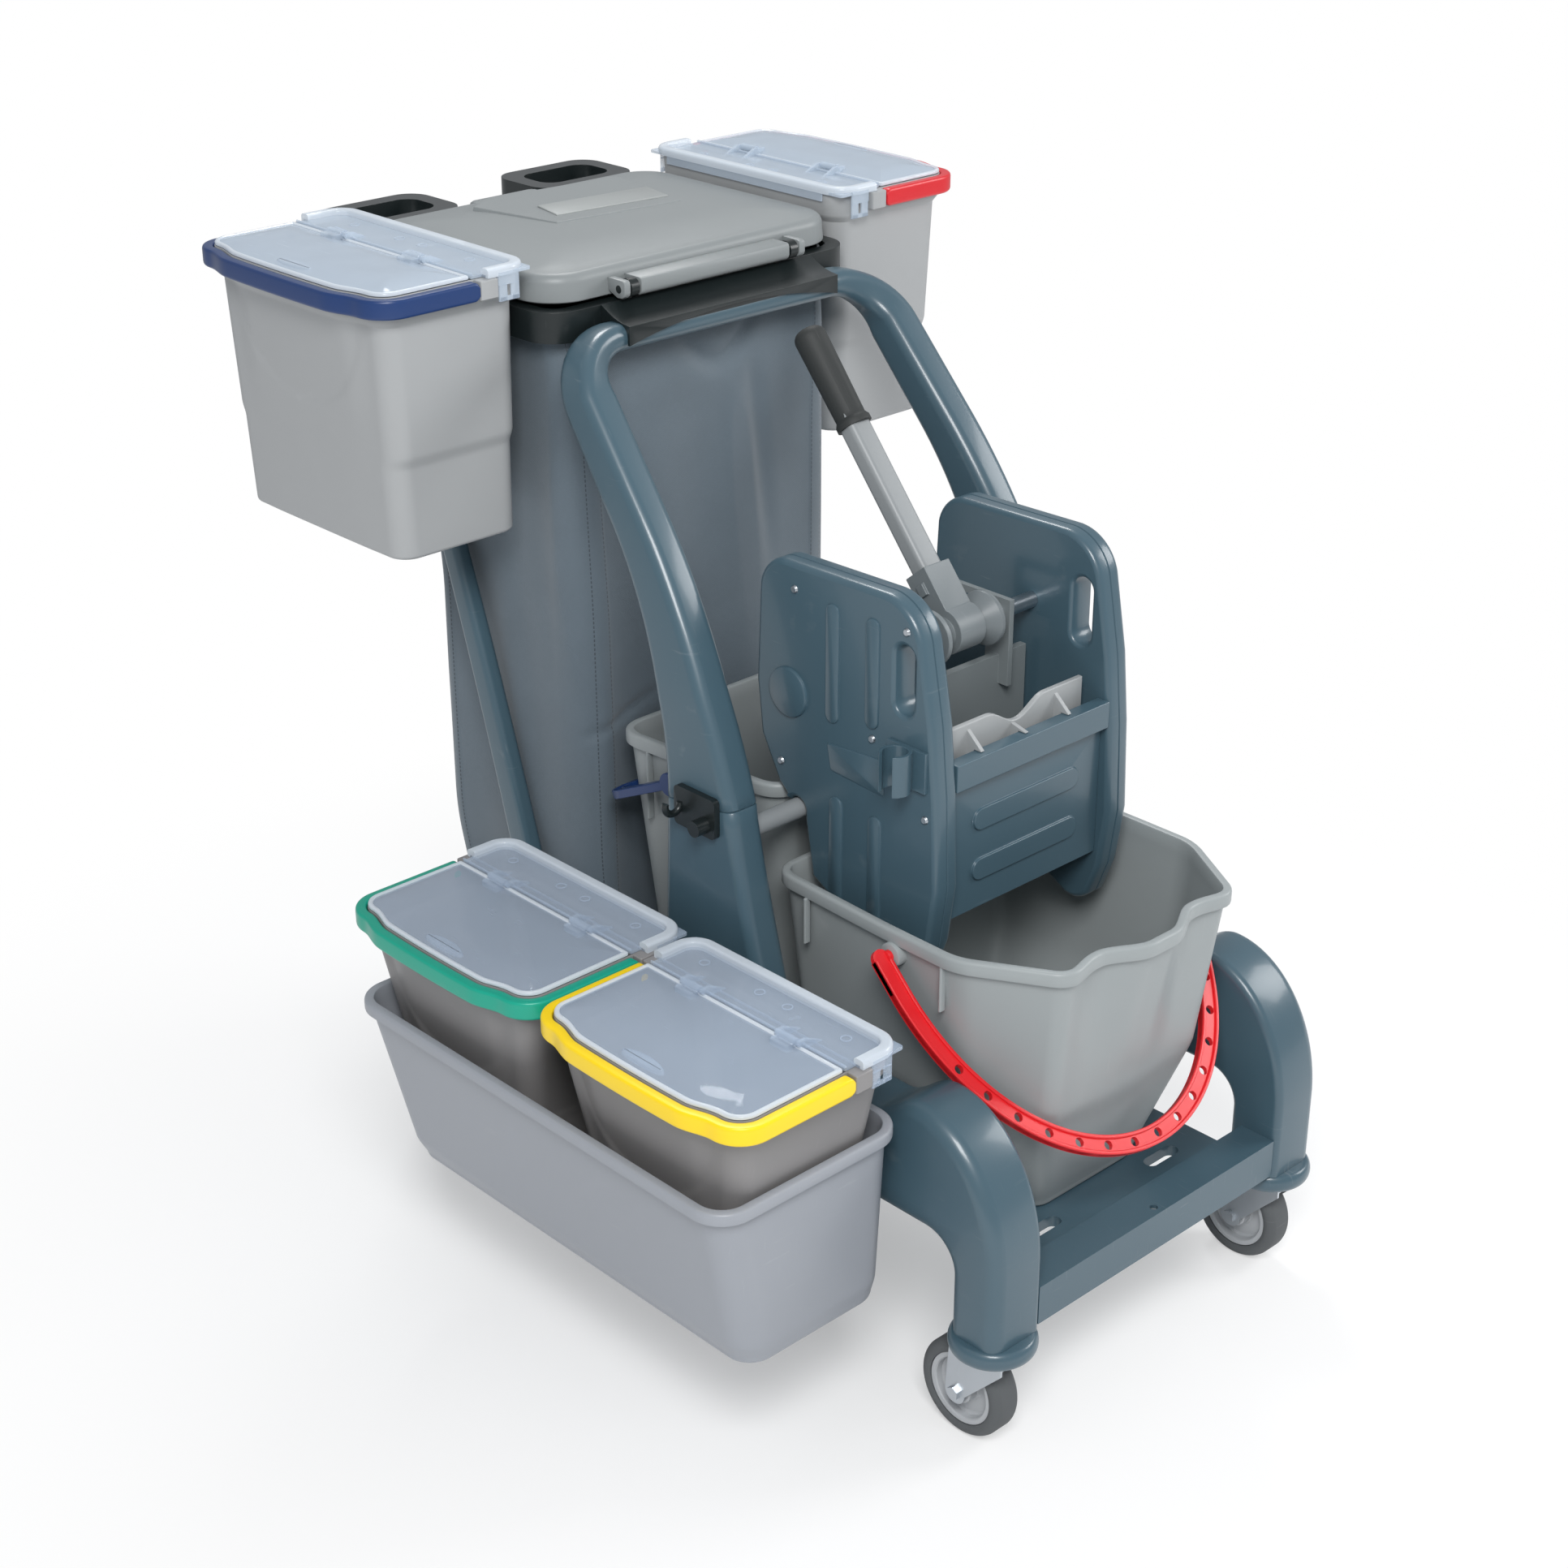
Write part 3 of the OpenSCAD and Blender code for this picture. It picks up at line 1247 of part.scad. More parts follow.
module lever_tube() {
    color(grey) lever_place() translate([0, 0, socket_l - 26])
        linear_extrude(lever_l - 24 - socket_l + 26) difference() {
        lever_section(0);
        rounded_plate(-tube_w / 2 + 2.5, -tube_t / 2 + 2.5, tube_w / 2 - 2.5, tube_t / 2 - 2.5, 3.5);
    }
}

module lever_grip() {
    low = lever_l - grip_l;
    color(black) lever_place() difference() {
        translate([0, 0, low]) rotate_extrude()
            polygon(concat([[0, 0], [grip_r + 1.5, 0], [grip_r + 1.5, 5], [grip_r - 1, 9],
                [grip_r, grip_l - 12]],
                arc([grip_r - 10, grip_l - 10], 10, 0, 90, 6), [[0, grip_l]]));
        translate([0, 0, low - 1]) linear_extrude(grip_l - 23 + seat) lever_section(seat);
    }
}

clip_at = [170, 607];
clip_h = 40;
clip_wall = 3.5;

module handle_clip() {
    face = -plate_x - plate_t;
    axis_x = face - 4 - clip_d / 2 - 2;
    color(slate) {
        translate([face - 4, clip_at.x - 24, clip_at.y - clip_h / 2]) cube([4, 48, clip_h]);
        difference() {
            union() {
                translate([axis_x, clip_at.x, clip_at.y - clip_h / 2])
                    cylinder(h = clip_h, d = clip_d + 2 * clip_wall);
                translate([axis_x, clip_at.x - 8, clip_at.y - clip_h / 2])
                    cube([face - 3 - axis_x, 16, clip_h]);
            }
            translate([axis_x, clip_at.x, clip_at.y - clip_h]) cylinder(h = 2 * clip_h, d = clip_d);
            translate([axis_x - clip_d, clip_at.x - clip_d * 0.36, clip_at.y - clip_h])
                cube([clip_d, clip_d * 0.72, 2 * clip_h]);
        }
    }
}

module plate_screws() {
    color("#d5d8da") both_sides()
        for (p = [[318, 735], [175, 735], [216, 618], [336, 556], [148, 560]])
            translate([plate_x + plate_t, p.x, p.y]) rotate([0, 90, 0]) cylinder(h = 2.4, r1 = 4.2, r2 = 3);
}

// Whole cart, set with the middle of its box on the Z axis
x_low = tub_x0;
x_high = side_box_x + box_d + handle_bow + bar_gap + box_bar;
y_low = front_foot_y - bumper_r;
y_high = frame_y1 + handle_reach;

module cart() {
    translate([-(x_low + x_high) / 2, -(y_low + y_high) / 2, 0]) children();
}

cart() platform();
cart() rear_deck();
cart() side_frames();
cart() post_feet();
cart() foot_bumpers();
cart() caster_stems();
cart() arch();
cart() arch_cover();
cart() cross_tube();
cart() rear_posts();
cart() bag_frame();
cart() bag();
cart() hook_plate();
cart() bag_lid();
cart() lid_hinge_pins();
cart() at_foot(0) fork();  // front_left_fork
cart() at_foot(0) rim();  // front_left_rim
cart() at_foot(0) tyre();  // front_left_tyre
cart() at_foot(1) fork();  // front_right_fork
cart() at_foot(1) rim();  // front_right_rim
cart() at_foot(1) tyre();  // front_right_tyre
cart() at_foot(2) fork();  // rear_left_fork
cart() at_foot(2) rim();  // rear_left_rim
cart() at_foot(2) tyre();  // rear_left_tyre
cart() at_foot(3) fork();  // rear_right_fork
cart() at_foot(3) rim();  // rear_right_rim
cart() at_foot(3) tyre();  // rear_right_tyre
cart() front_bucket();
cart() front_bail();
cart() rear_bucket();
cart() rear_bail();
cart() tub();
cart() blue_box();
cart() blue_handle();
cart() blue_lid();
cart() blue_flap();
cart() red_box();
cart() red_handle();
cart() red_lid();
cart() red_flap();
cart() green_box();
cart() green_handle();
cart() green_lid();
cart() green_flap();
cart() yellow_box();
cart() yellow_handle();
cart() yellow_lid();
cart() yellow_flap();
cart() wringer_left_plate();
cart() wringer_right_plate();
cart() wringer_front_panel();
cart() front_jaw();
cart() press_plate();
cart() lever_shaft();
cart() lever_hub();
cart() lever_tube();
cart() lever_grip();
cart() handle_clip();
cart() plate_screws();
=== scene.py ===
# %% [markdown]
# # Janitor cart: looks
# The cart's solids arrive as a fixed frame, one object per piece, and this lesson dresses them. Big moulded shells
# are rebuilt as smooth numpy surfaces on the same measures, small hardware keeps its solid and gets softened edges,
# and every surface gets a node material. The lesson starts by loading the frame.

# %% Load the frame
import bpy
import bmesh
import json
import math
import numpy as np
from mathutils.geometry import tessellate_polygon
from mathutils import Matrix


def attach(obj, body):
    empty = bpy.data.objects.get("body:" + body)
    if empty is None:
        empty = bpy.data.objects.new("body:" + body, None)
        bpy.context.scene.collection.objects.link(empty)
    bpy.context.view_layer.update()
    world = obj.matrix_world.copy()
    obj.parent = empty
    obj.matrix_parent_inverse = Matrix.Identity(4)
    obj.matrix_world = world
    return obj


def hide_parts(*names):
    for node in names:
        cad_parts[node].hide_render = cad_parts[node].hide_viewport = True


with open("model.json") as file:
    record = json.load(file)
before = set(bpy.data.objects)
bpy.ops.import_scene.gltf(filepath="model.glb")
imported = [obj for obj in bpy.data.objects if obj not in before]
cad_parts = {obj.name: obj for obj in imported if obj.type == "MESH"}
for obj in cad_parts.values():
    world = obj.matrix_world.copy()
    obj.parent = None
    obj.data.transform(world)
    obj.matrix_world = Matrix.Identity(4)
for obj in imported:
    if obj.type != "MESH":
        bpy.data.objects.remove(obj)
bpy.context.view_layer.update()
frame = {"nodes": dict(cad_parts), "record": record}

# %% [markdown]
# The cart was drawn in millimetres with X across, Y towards the back, and its front wheels near Y = 0. The frame has
# the middle of the cart's box on the Z axis and is in metres, so one small function moves every drawn point there.

# %% Millimetres of the drawing to metres of the frame
SHIFT = np.array([45.75, -464.268, 0.0])


def metres(points):
    """Adds the shift of the drawing and divides by a thousand."""
    return (np.asarray(points, float) + SHIFT) / 1000.0


# %% [markdown]
# Shader trees are built by three short functions: one fills the inputs of a node, one adds a node, and one turns a
# nested rule, such as a sum of products, into math nodes.

# %% Shader nodes in short
def feed(tree, node, inputs):
    """Sets each input of a node to a value, or links it where the value is a socket."""
    for key, value in inputs.items():
        if isinstance(value, bpy.types.NodeSocket):
            tree.links.new(value, node.inputs[key])
        else:
            node.inputs[key].default_value = value


def add(tree, kind, inputs, **options):
    """New node of a kind, with its options set and its inputs fed."""
    node = tree.nodes.new(kind)
    for key, value in options.items():
        setattr(node, key, value)
    feed(tree, node, inputs)
    return node


def formula(tree, rule):
    """Math nodes for a nested rule such as ("ADD", a, ("MULTIPLY", b, 2.0)); gives the output socket of the last."""
    if not isinstance(rule, tuple):
        return rule
    inputs = {i: formula(tree, part) for i, part in enumerate(rule[1:])}
    return add(tree, "ShaderNodeMath", inputs, operation=rule[0]).outputs[0]


def shown(tree):
    """1 for what the camera sees, straight or through a clear lid, and 0 for all other rays."""
    rays = tree.nodes.new("ShaderNodeLightPath").outputs
    return formula(tree, ("MAXIMUM", rays["Is Camera Ray"], rays["Is Transmission Ray"]))


# %% [markdown]
# ## Camera and light
# The photograph is a studio shot on white, from the front left and above. A camera fitted to the cart's own edges
# gives its place, its turn and its lens. The light is plain: a large soft lamp high on the left, a weaker one on the
# right, one above the back, and an even world. The world shows white to the camera, and lights the cart less.

# %% Camera and world
SENSOR_MM, FOCAL_PX, PHOTO_PX = 36.0, 3275.0, 1932.0
LOOK_DOWN, LOOK_RIGHT = 25.68, 43.53
scene = bpy.context.scene
scene.view_settings.view_transform = "Standard"
camera = bpy.data.objects.new("camera", bpy.data.cameras.new("camera"))
scene.collection.objects.link(camera)
camera.data.sensor_width = SENSOR_MM
camera.data.lens = FOCAL_PX / PHOTO_PX * SENSOR_MM
camera.data.clip_end = 50.0
camera.location = metres((-1705.0, -1320.0, 1628.0))
camera.rotation_euler = (math.radians(90.0 - LOOK_DOWN), 0.0, math.radians(-LOOK_RIGHT))
scene.camera = camera

world = bpy.data.worlds.new("studio")
scene.world = world
world.use_nodes = True
tree = world.node_tree
tree.nodes.clear()
lit = add(tree, "ShaderNodeBackground", {"Color": (0.93, 0.96, 1.0, 1.0), "Strength": 0.45})
white = add(tree, "ShaderNodeBackground", {"Color": (1.0, 1.0, 1.0, 1.0), "Strength": 1.0})
pick = add(tree, "ShaderNodeMixShader", {"Fac": shown(tree), 1: lit.outputs[0], 2: white.outputs[0]})
add(tree, "ShaderNodeOutputWorld", {"Surface": pick.outputs[0]})

# %% [markdown]
# Each lamp is a square area lamp, turned to look at the middle of the cart.

# %% Lamps
def soft_lamp(name, place, aim, size, watts):
    """A square area lamp at place that faces aim."""
    lamp = bpy.data.objects.new(name, bpy.data.lights.new(name, "AREA"))
    lamp.data.size = size
    lamp.data.energy = watts
    lamp.location = place
    way = np.array(aim, float) - np.array(place, float)
    lean = math.atan2(math.hypot(way[0], way[1]), -way[2])
    lamp.rotation_euler = (lean, 0.0, math.atan2(way[0], -way[1]) + math.pi)
    scene.collection.objects.link(lamp)


soft_lamp("key_lamp", (-1.7, -1.9, 2.7), (0.0, 0.0, 0.5), 1.1, 78.0)
soft_lamp("right_lamp", (2.4, -1.6, 1.9), (0.0, 0.0, 0.5), 1.2, 36.0)
soft_lamp("top_lamp", (1.2, 1.6, 3.3), (0.0, 0.0, 0.6), 0.9, 34.0)
print("camera lens", round(camera.data.lens, 2), "mm, lamps 3")

# %% [markdown]
# ## Tools for shapes
# Every moulded shell here is a loft: a list of rings with the same number of points, and faces between them. Cups are
# one loft too, up the outside, over the rim and down the inside. The rings come from outlines with rounded corners,
# and an outline is moved inwards along its own normals to round an edge off.

# %% Outlines
def arc(centre, rx, ry, start, end, count):
    """Points on an ellipse about centre from the start to the end angle, in degrees."""
    a = np.radians(np.linspace(start, end, count))
    return np.column_stack([centre[0] + rx * np.cos(a), centre[1] + ry * np.sin(a)])


def disc(x, y, r, count):
    """Full circle of points about (x, y)."""
    return arc((x, y), r, r, 0, 360, count + 1)[:-1]


def round_box(x0, y0, x1, y1, r, count=10):
    """Counter-clockwise rectangle whose four corners are quarter circles of radius r."""
    return np.vstack([arc((x1 - r, y0 + r), r, r, -90, 0, count), arc((x1 - r, y1 - r), r, r, 0, 90, count),
                      arc((x0 + r, y1 - r), r, r, 90, 180, count), arc((x0 + r, y0 + r), r, r, 180, 270, count)])


def inset(outline, d):
    """Moves each point of a counter-clockwise outline inwards by d, along the mean of its two edge normals."""
    before = outline - np.roll(outline, 1, axis=0)
    before = before / np.maximum(np.linalg.norm(before, axis=1, keepdims=True), 1e-9)
    after = np.roll(before, -1, axis=0)
    a = np.column_stack([-before[:, 1], before[:, 0]])
    b = np.column_stack([-after[:, 1], after[:, 0]])
    return outline + d * (a + b) / (1.0 + np.sum(a * b, axis=1, keepdims=True))


def run_length(line):
    """Distance along a line to each of its points."""
    return np.concatenate([[0.0], np.cumsum(np.linalg.norm(np.diff(line, axis=0), axis=1))])


def even(outline, count):
    """Points at equal steps along a closed outline."""
    closed = np.vstack([outline, outline[:1]])
    run = run_length(closed)
    at = np.linspace(0.0, run[-1], count, endpoint=False)
    return np.column_stack([np.interp(at, run, column) for column in closed.T])


def filleted(corners, cuts, count=8):
    """Closed outline through corners, each replaced by a quadratic curve that starts and ends a cut away from it."""
    p = np.asarray(corners, float)
    c = np.asarray(cuts, float)[:, None]
    back, ahead = np.roll(p, 1, axis=0) - p, np.roll(p, -1, axis=0) - p
    a = p + back / np.linalg.norm(back, axis=1, keepdims=True) * c
    b = p + ahead / np.linalg.norm(ahead, axis=1, keepdims=True) * c
    t = np.linspace(0.0, 1.0, count)[None, :, None]
    return ((1.0 - t) ** 2 * a[:, None] + 2.0 * t * (1.0 - t) * p[:, None] + t ** 2 * b[:, None]).reshape(-1, 2)


def level(outline, z):
    """Lays an outline flat at height z."""
    return np.column_stack([outline, np.full(len(outline), float(z))])


def across(outline, x):
    """Stands an outline of (y, z) points in the plane at x."""
    return np.column_stack([np.full(len(outline), float(x)), outline])


def upright(outline, y):
    """Stands an outline of (x, z) points in the plane at y."""
    return np.column_stack([outline[:, 0], np.full(len(outline), float(y)), outline[:, 1]])


def smooth(k):
    """Eases from 0 to 1 with flat ends: three k squared minus two k cubed."""
    k = np.clip(k, 0.0, 1.0)
    return k * k * (3.0 - 2.0 * k)


# %% [markdown]
# A loft numbers its points ring by ring, so its faces follow from the counts alone. A turned shape is a loft closed on
# itself, a brick is a short stack of one plan, and a bar is a section carried along a line.

# %% Lofts
def grid_faces(rows, count, loop=False):
    """Quads between neighbouring rings of a loft: each joins points j and j + 1 of ring i to those of ring i + 1."""
    i = np.arange(rows if loop else rows - 1)[:, None] * count
    j = np.arange(count)[None, :]
    k = (j + 1) % count
    up = (i + count) % (rows * count)
    return np.stack([i + j, i + k, up + k, up + j], axis=-1).reshape(-1, 4).tolist()


def loft(rings, ends="flat"):
    """Points and faces of the surface through rings. ends: flat caps, open, or loop from last ring to first."""
    rings = np.asarray(rings, float)
    rows, count = rings.shape[:2]
    faces = grid_faces(rows, count, loop=ends == "loop")
    if ends == "flat":
        faces += [list(range(count - 1, -1, -1)), list(range((rows - 1) * count, rows * count))]
    return rings.reshape(-1, 3), faces


def stack(plan, steps, ends="flat"):
    """Loft of a plan laid flat once for each step of (inset, height)."""
    return loft([level(inset(plan, d), z) for d, z in steps], ends)


def carried(line, section, z, thick=1.0, tall=1.0):
    """Loft of a section carried along a flat line: its first value goes outwards by thick, its second up by tall."""
    way = np.gradient(line, axis=0)
    way = way / np.linalg.norm(way, axis=1, keepdims=True)
    out = np.column_stack([way[:, 1], -way[:, 0]])
    rings = np.zeros((len(line), len(section), 3))
    rings[..., :2] = line[:, None, :] + out[:, None, :] * (section[:, 0] * thick)[..., None]
    rings[..., 2] = z + section[:, 1] * tall
    return loft(rings)


def turned(profile, centre, axis="z", count=64):
    """Turns a profile of (radius, height) points once round an axis through centre."""
    a = np.linspace(0.0, 2.0 * math.pi, count, endpoint=False)
    r, h = np.asarray(profile, float).T
    round_a, round_b = r[:, None] * np.cos(a), r[:, None] * np.sin(a)
    height = np.repeat(h[:, None], count, axis=1)
    order = {"z": (round_a, round_b, height), "x": (height, round_a, round_b), "y": (round_b, height, round_a)}
    return loft(np.stack(order[axis], axis=-1) + np.asarray(centre, float), ends="loop")


def brick(x0, y0, z0, x1, y1, z1, soft=0.8):
    """Box with softened edges, drawn as a loft of its plan moved in at the bottom and the top."""
    plan = round_box(x0, y0, x1, y1, min(1.6, (x1 - x0) / 2.1, (y1 - y0) / 2.1), 4)
    return stack(plan, ((soft, z0), (0.0, z0 + soft), (0.0, z1 - soft), (soft, z1)))


# %% Mirror images and groups
def mirrored(shape):
    """Mirror image in the middle plane, with its faces turned to point outwards."""
    points, faces = shape
    return points * np.array([-1.0, 1.0, 1.0]), [face[::-1] for face in faces]


def together(*parts):
    """Several (points, faces) pairs as one."""
    starts = np.cumsum([0] + [len(p) for p, _ in parts])
    return np.vstack([p for p, _ in parts]), [[s + v for v in f] for s, (_, fs) in zip(starts, parts) for f in fs]


def both_sides(shape):
    """A shape and its mirror image."""
    return together(shape, mirrored(shape))


# %% [markdown]
# A piece takes the body and the material slot of the node that it dresses, and it usually stands for that node. Small
# hardware keeps the exact solid of the frame. Its triangles are loose, so a copy is merged and its flat areas are
# joined, and then its edges are rounded off a little, as on anything moulded or stamped.

# %% Pieces
node_body = {n: b for b, members in frame["record"]["behaviour"]["bodies"].items() for n in members}


def finish_piece(mesh, node, material, bevel, angle, stands_for):
    """Object with smooth shading that breaks at sharp edges, an optional rounded edge, a material and a ride."""
    obj = bpy.data.objects.new(mesh.name, mesh)
    scene.collection.objects.link(obj)
    mesh.shade_smooth()
    mesh.set_sharp_from_angle(angle=math.radians(angle))
    if bevel:
        edge = obj.modifiers.new("soft_edges", "BEVEL")
        edge.width = bevel / 1000.0
        edge.segments = 3
        edge.limit_method = "ANGLE"
        edge.angle_limit = math.radians(35.0)
        edge.harden_normals = True
    mesh.materials.append(material)
    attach(obj, node_body[node])
    if stands_for:
        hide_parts(node)
    return obj


def piece(name, shape, node, material, bevel=0.0, angle=40.0, stands_for=True):
    """Puts points and faces, drawn in millimetres, into a mesh object that dresses a node."""
    points, faces = shape
    mesh = bpy.data.meshes.new(name)
    mesh.from_pydata(metres(points).tolist(), [], faces)
    mesh.validate()
    return finish_piece(mesh, node, material, bevel, angle, stands_for)


def dressed(node, material, bevel=0.6, angle=35.0):
    """Copy of a node with merged points, joined flat faces and softened edges, which replaces the node."""
    work = bmesh.new()
    work.from_mesh(frame["nodes"][node].data)
    bmesh.ops.remove_doubles(work, verts=work.verts, dist=2e-6)
    bmesh.ops.dissolve_limit(work, angle_limit=math.radians(0.6), verts=work.verts, edges=work.edges)
    mesh = bpy.data.meshes.new(node + "_dressed")
    work.to_mesh(mesh)
    work.free()
    return finish_piece(mesh, node, material, bevel, angle, True)


print("tools ready for", len(node_body), "nodes")

# %% [markdown]
# ## Finishes
# Nearly all of the cart is injection moulded plastic. Such a surface isn't one flat colour: it has a fine grain that
# breaks up the gloss, slow changes of tone from the mould, and thin rub marks where things are set down. These are two
# node groups that every plastic shares, each with its own values: one for the moulded skin and one for the rub marks.

# %% Shared shader groups
SOCKET_KINDS = {1: "NodeSocketFloat", 3: "NodeSocketVector", 4: "NodeSocketColor"}
ORIGIN = (0.0, 0.0, 0.0)


def colour(code):
    """Linear colour of a web colour code such as #4d5f6c."""
    c = np.array([int(code[i:i + 2], 16) for i in (1, 3, 5)]) / 255.0
    c = np.where(c <= 0.04045, c / 12.92, ((c + 0.055) / 1.055) ** 2.4)
    return (*[float(v) for v in c], 1.0)


def new_group(name, inputs, outputs):
    """Empty shader group: inputs have a first value, outputs a number of values. Gives the tree and its two ends."""
    group = bpy.data.node_groups.new(name, "ShaderNodeTree")
    for label, value in inputs.items():
        socket = group.interface.new_socket(label, in_out="INPUT", socket_type=SOCKET_KINDS[np.size(value)])
        socket.default_value = value
    for label, size in outputs.items():
        group.interface.new_socket(label, in_out="OUTPUT", socket_type=SOCKET_KINDS[size])
    return group, group.nodes.new("NodeGroupInput").outputs, group.nodes.new("NodeGroupOutput")


def noise(tree, vector, scale, detail=2.0, stretch=None):
    """Noise texture on a vector, which may be stretched first; gives the factor socket."""
    if stretch:
        vector = add(tree, "ShaderNodeMapping", {"Vector": vector, "Scale": stretch}).outputs[0]
    return add(tree, "ShaderNodeTexNoise", {"Vector": vector, "Scale": scale, "Detail": detail}).outputs[0]


skin, given, out = new_group(
    "moulded_skin",
    {"Vector": ORIGIN, "Colour": (0.5, 0.5, 0.5, 1.0), "Tone": 0.06, "Grain size": 900.0, "Roughness": 0.4,
     "Gloss change": 0.08},
    {"Colour": 4, "Roughness": 1, "Height": 1})
slow, mottle = noise(skin, given["Vector"], 3.2, 3.0), noise(skin, given["Vector"], 26.0, 3.0)
swing = formula(skin, ("SUBTRACT", ("ADD", ("MULTIPLY", slow, 0.65), ("MULTIPLY", mottle, 0.35)), 0.5))
tone = formula(skin, ("ADD", 1.0, ("MULTIPLY", ("MULTIPLY", swing, 2.0), given["Tone"])))
shade = add(skin, "ShaderNodeVectorMath", {0: given["Colour"], "Scale": tone}, operation="SCALE")
rough = formula(skin, ("ADD", given["Roughness"], ("MULTIPLY", swing, given["Gloss change"])))
grain = noise(skin, given["Vector"], given["Grain size"])
feed(skin, out, {"Colour": shade.outputs[0], "Roughness": rough, "Height": grain})

rub, given, out = new_group("rub_marks", {"Vector": ORIGIN, "Amount": 0.5}, {"Mask": 1})
along = noise(rub, given["Vector"], 22.0, 4.0, stretch=(14.0, 1.0, 1.2))
over = noise(rub, given["Vector"], 20.0, 4.0, stretch=(1.0, 1.3, 13.0))
patch = noise(rub, given["Vector"], 5.0)
lines = ("MULTIPLY", ("MAXIMUM", ("MAXIMUM", ("SUBTRACT", along, 0.66), ("SUBTRACT", over, 0.67)), 0.0), 9.0)
where = ("MULTIPLY", ("MAXIMUM", ("SUBTRACT", patch, 0.42), 0.0), 5.0)
mask = formula(rub, ("MINIMUM", ("MULTIPLY", ("MULTIPLY", lines, where), given["Amount"]), 1.0))
feed(rub, out, {"Mask": mask})
print("shader groups:", [group.name for group in bpy.data.node_groups])


# %% [markdown]
# A plastic places both groups, lightens its colour a little along the rub marks and roughens them, and bends the
# normal by the grain. Gloss is left to the shader and the lamps.

# %% Plastics
PLASTIC_IOR = 1.49


def new_material(name):
    """Material with an empty Principled shader; gives the material, its tree and the shader."""
    material = bpy.data.materials.new(name)
    material.use_nodes = True
    return material, material.node_tree, material.node_tree.nodes["Principled BSDF"]


def place_group(tree, group, vector=None, **values):
    """Outputs of a group on a vector, or else on Object coordinates. Its inputs are named with underscores."""
    if vector is None:
        vector = tree.nodes.new("ShaderNodeTexCoord").outputs["Object"]
    inputs = {key.replace("_", " "): value for key, value in values.items()}
    return add(tree, "ShaderNodeGroup", {"Vector": vector, **inputs}, node_tree=group).outputs


def mixed(tree, factor, a, b):
    """Colour between a and b, each a socket or a colour."""
    return add(tree, "ShaderNodeMix", {"Factor": factor, 6: a, 7: b}, data_type="RGBA").outputs[2]


def bumped(tree, height, strength, distance, **more):
    """Normal bent by a height."""
    inputs = {"Height": height, "Strength": strength, "Distance": distance, **more}
    return add(tree, "ShaderNodeBump", inputs).outputs["Normal"]


def plastic(name, code, roughness, grain=900.0, bump=0.12, tone=0.05, rubs=0.35, coat=0.0):
    """Moulded plastic: skin group for colour, gloss and grain, rub marks mixed over it."""
    material, tree, shader = new_material(name)
    base = place_group(tree, skin, Colour=colour(code), Tone=tone, Grain_size=grain, Roughness=roughness)
    marks = place_group(tree, rub, Amount=rubs)["Mask"]
    worn = tuple(min(1.0, 0.75 * c + 0.16) for c in colour(code)[:3]) + (1.0,)
    feed(tree, shader, {"Base Color": mixed(tree, marks, base["Colour"], worn),
                        "Roughness": formula(tree, ("ADD", base["Roughness"], ("MULTIPLY", marks, 0.2))),
                        "Normal": bumped(tree, base["Height"], bump, 0.0004),
                        "IOR": PLASTIC_IOR, "Coat Weight": coat, "Coat Roughness": 0.12})
    return material


slate = plastic("slate_plastic", "#425a66", 0.34, bump=0.08, coat=0.30)
box_grey = plastic("box_grey", "#a2a4a5", 0.42, tone=0.04)
# The bucket grey leans a little towards teal: painted reflection of light bounced off the slate parts onto a neutral
# grey.
bucket_grey_painted_bounce = plastic("bucket_grey_painted_bounce", "#979d9e", 0.40, rubs=0.5)
lid_grey = plastic("lid_grey", "#858a8b", 0.40, grain=1500.0, bump=0.30, tone=0.04)
plate_grey = plastic("plate_grey", "#9a9e9d", 0.34, tone=0.03)
warm_grey = plastic("caddy_warm_grey", "#878585", 0.42)
tub_grey = plastic("tub_grey", "#969aa1", 0.38, bump=0.10, tone=0.04)
jaw_grey = plastic("jaw_grey", "#a0a3a4", 0.42)
lever_grey = plastic("lever_grey", "#8a8e90", 0.40)
# The press plate's grey is darkened by about a quarter: painted shade for its place back behind the jaw.
press_grey_painted_shade = plastic("press_grey_painted_shade", "#7a8183", 0.42)
hub_grey = plastic("hub_grey", "#71787b", 0.40)
rim_grey = plastic("rim_grey", "#aeb1b4", 0.45)
black = plastic("black_plastic", "#171e1f", 0.34, tone=0.08, rubs=0.3, coat=0.15)
grip_black = plastic("grip_rubber", "#2a2d2d", 0.62, grain=700.0, bump=0.35, tone=0.08, rubs=0.2)
red = plastic("red_plastic", "#d01f28", 0.33, tone=0.04, rubs=0.25)
bail_red = plastic("red_handle_plastic", "#dc2128", 0.33, tone=0.04, rubs=0.2)
blue = plastic("blue_plastic", "#1b3769", 0.33, rubs=0.25)
green = plastic("green_plastic", "#0a9c83", 0.33, tone=0.04, rubs=0.2)
yellow = plastic("yellow_plastic", "#f7d20e", 0.33, tone=0.03, rubs=0.15)
rubber = plastic("tyre_rubber", "#55585a", 0.72, grain=500.0, bump=0.35, tone=0.16, rubs=0.6)
print("plastics:", slate.name, "to", rubber.name)

# %% [markdown]
# The forks, the screws and the lever's shaft are zinc plated steel: a metal with a faint spangle and slightly uneven
# gloss. The box lids are clear moulded plastic: they let the light through, and show their ribs by reflections and a
# thin haze.

# %% Steel and clear plastic
def zinc_steel(name, code, roughness):
    """Plated steel: metallic, with a crystal-like change of tone and fine brushed grain."""
    material, tree, shader = new_material(name)
    base = place_group(tree, skin, Colour=colour(code), Tone=0.16, Grain_size=420.0, Roughness=roughness,
                       Gloss_change=0.2)
    feed(tree, shader, {"Base Color": base["Colour"], "Roughness": base["Roughness"], "Metallic": 1.0,
                        "Normal": bumped(tree, base["Height"], 0.1, 0.0003)})
    return material


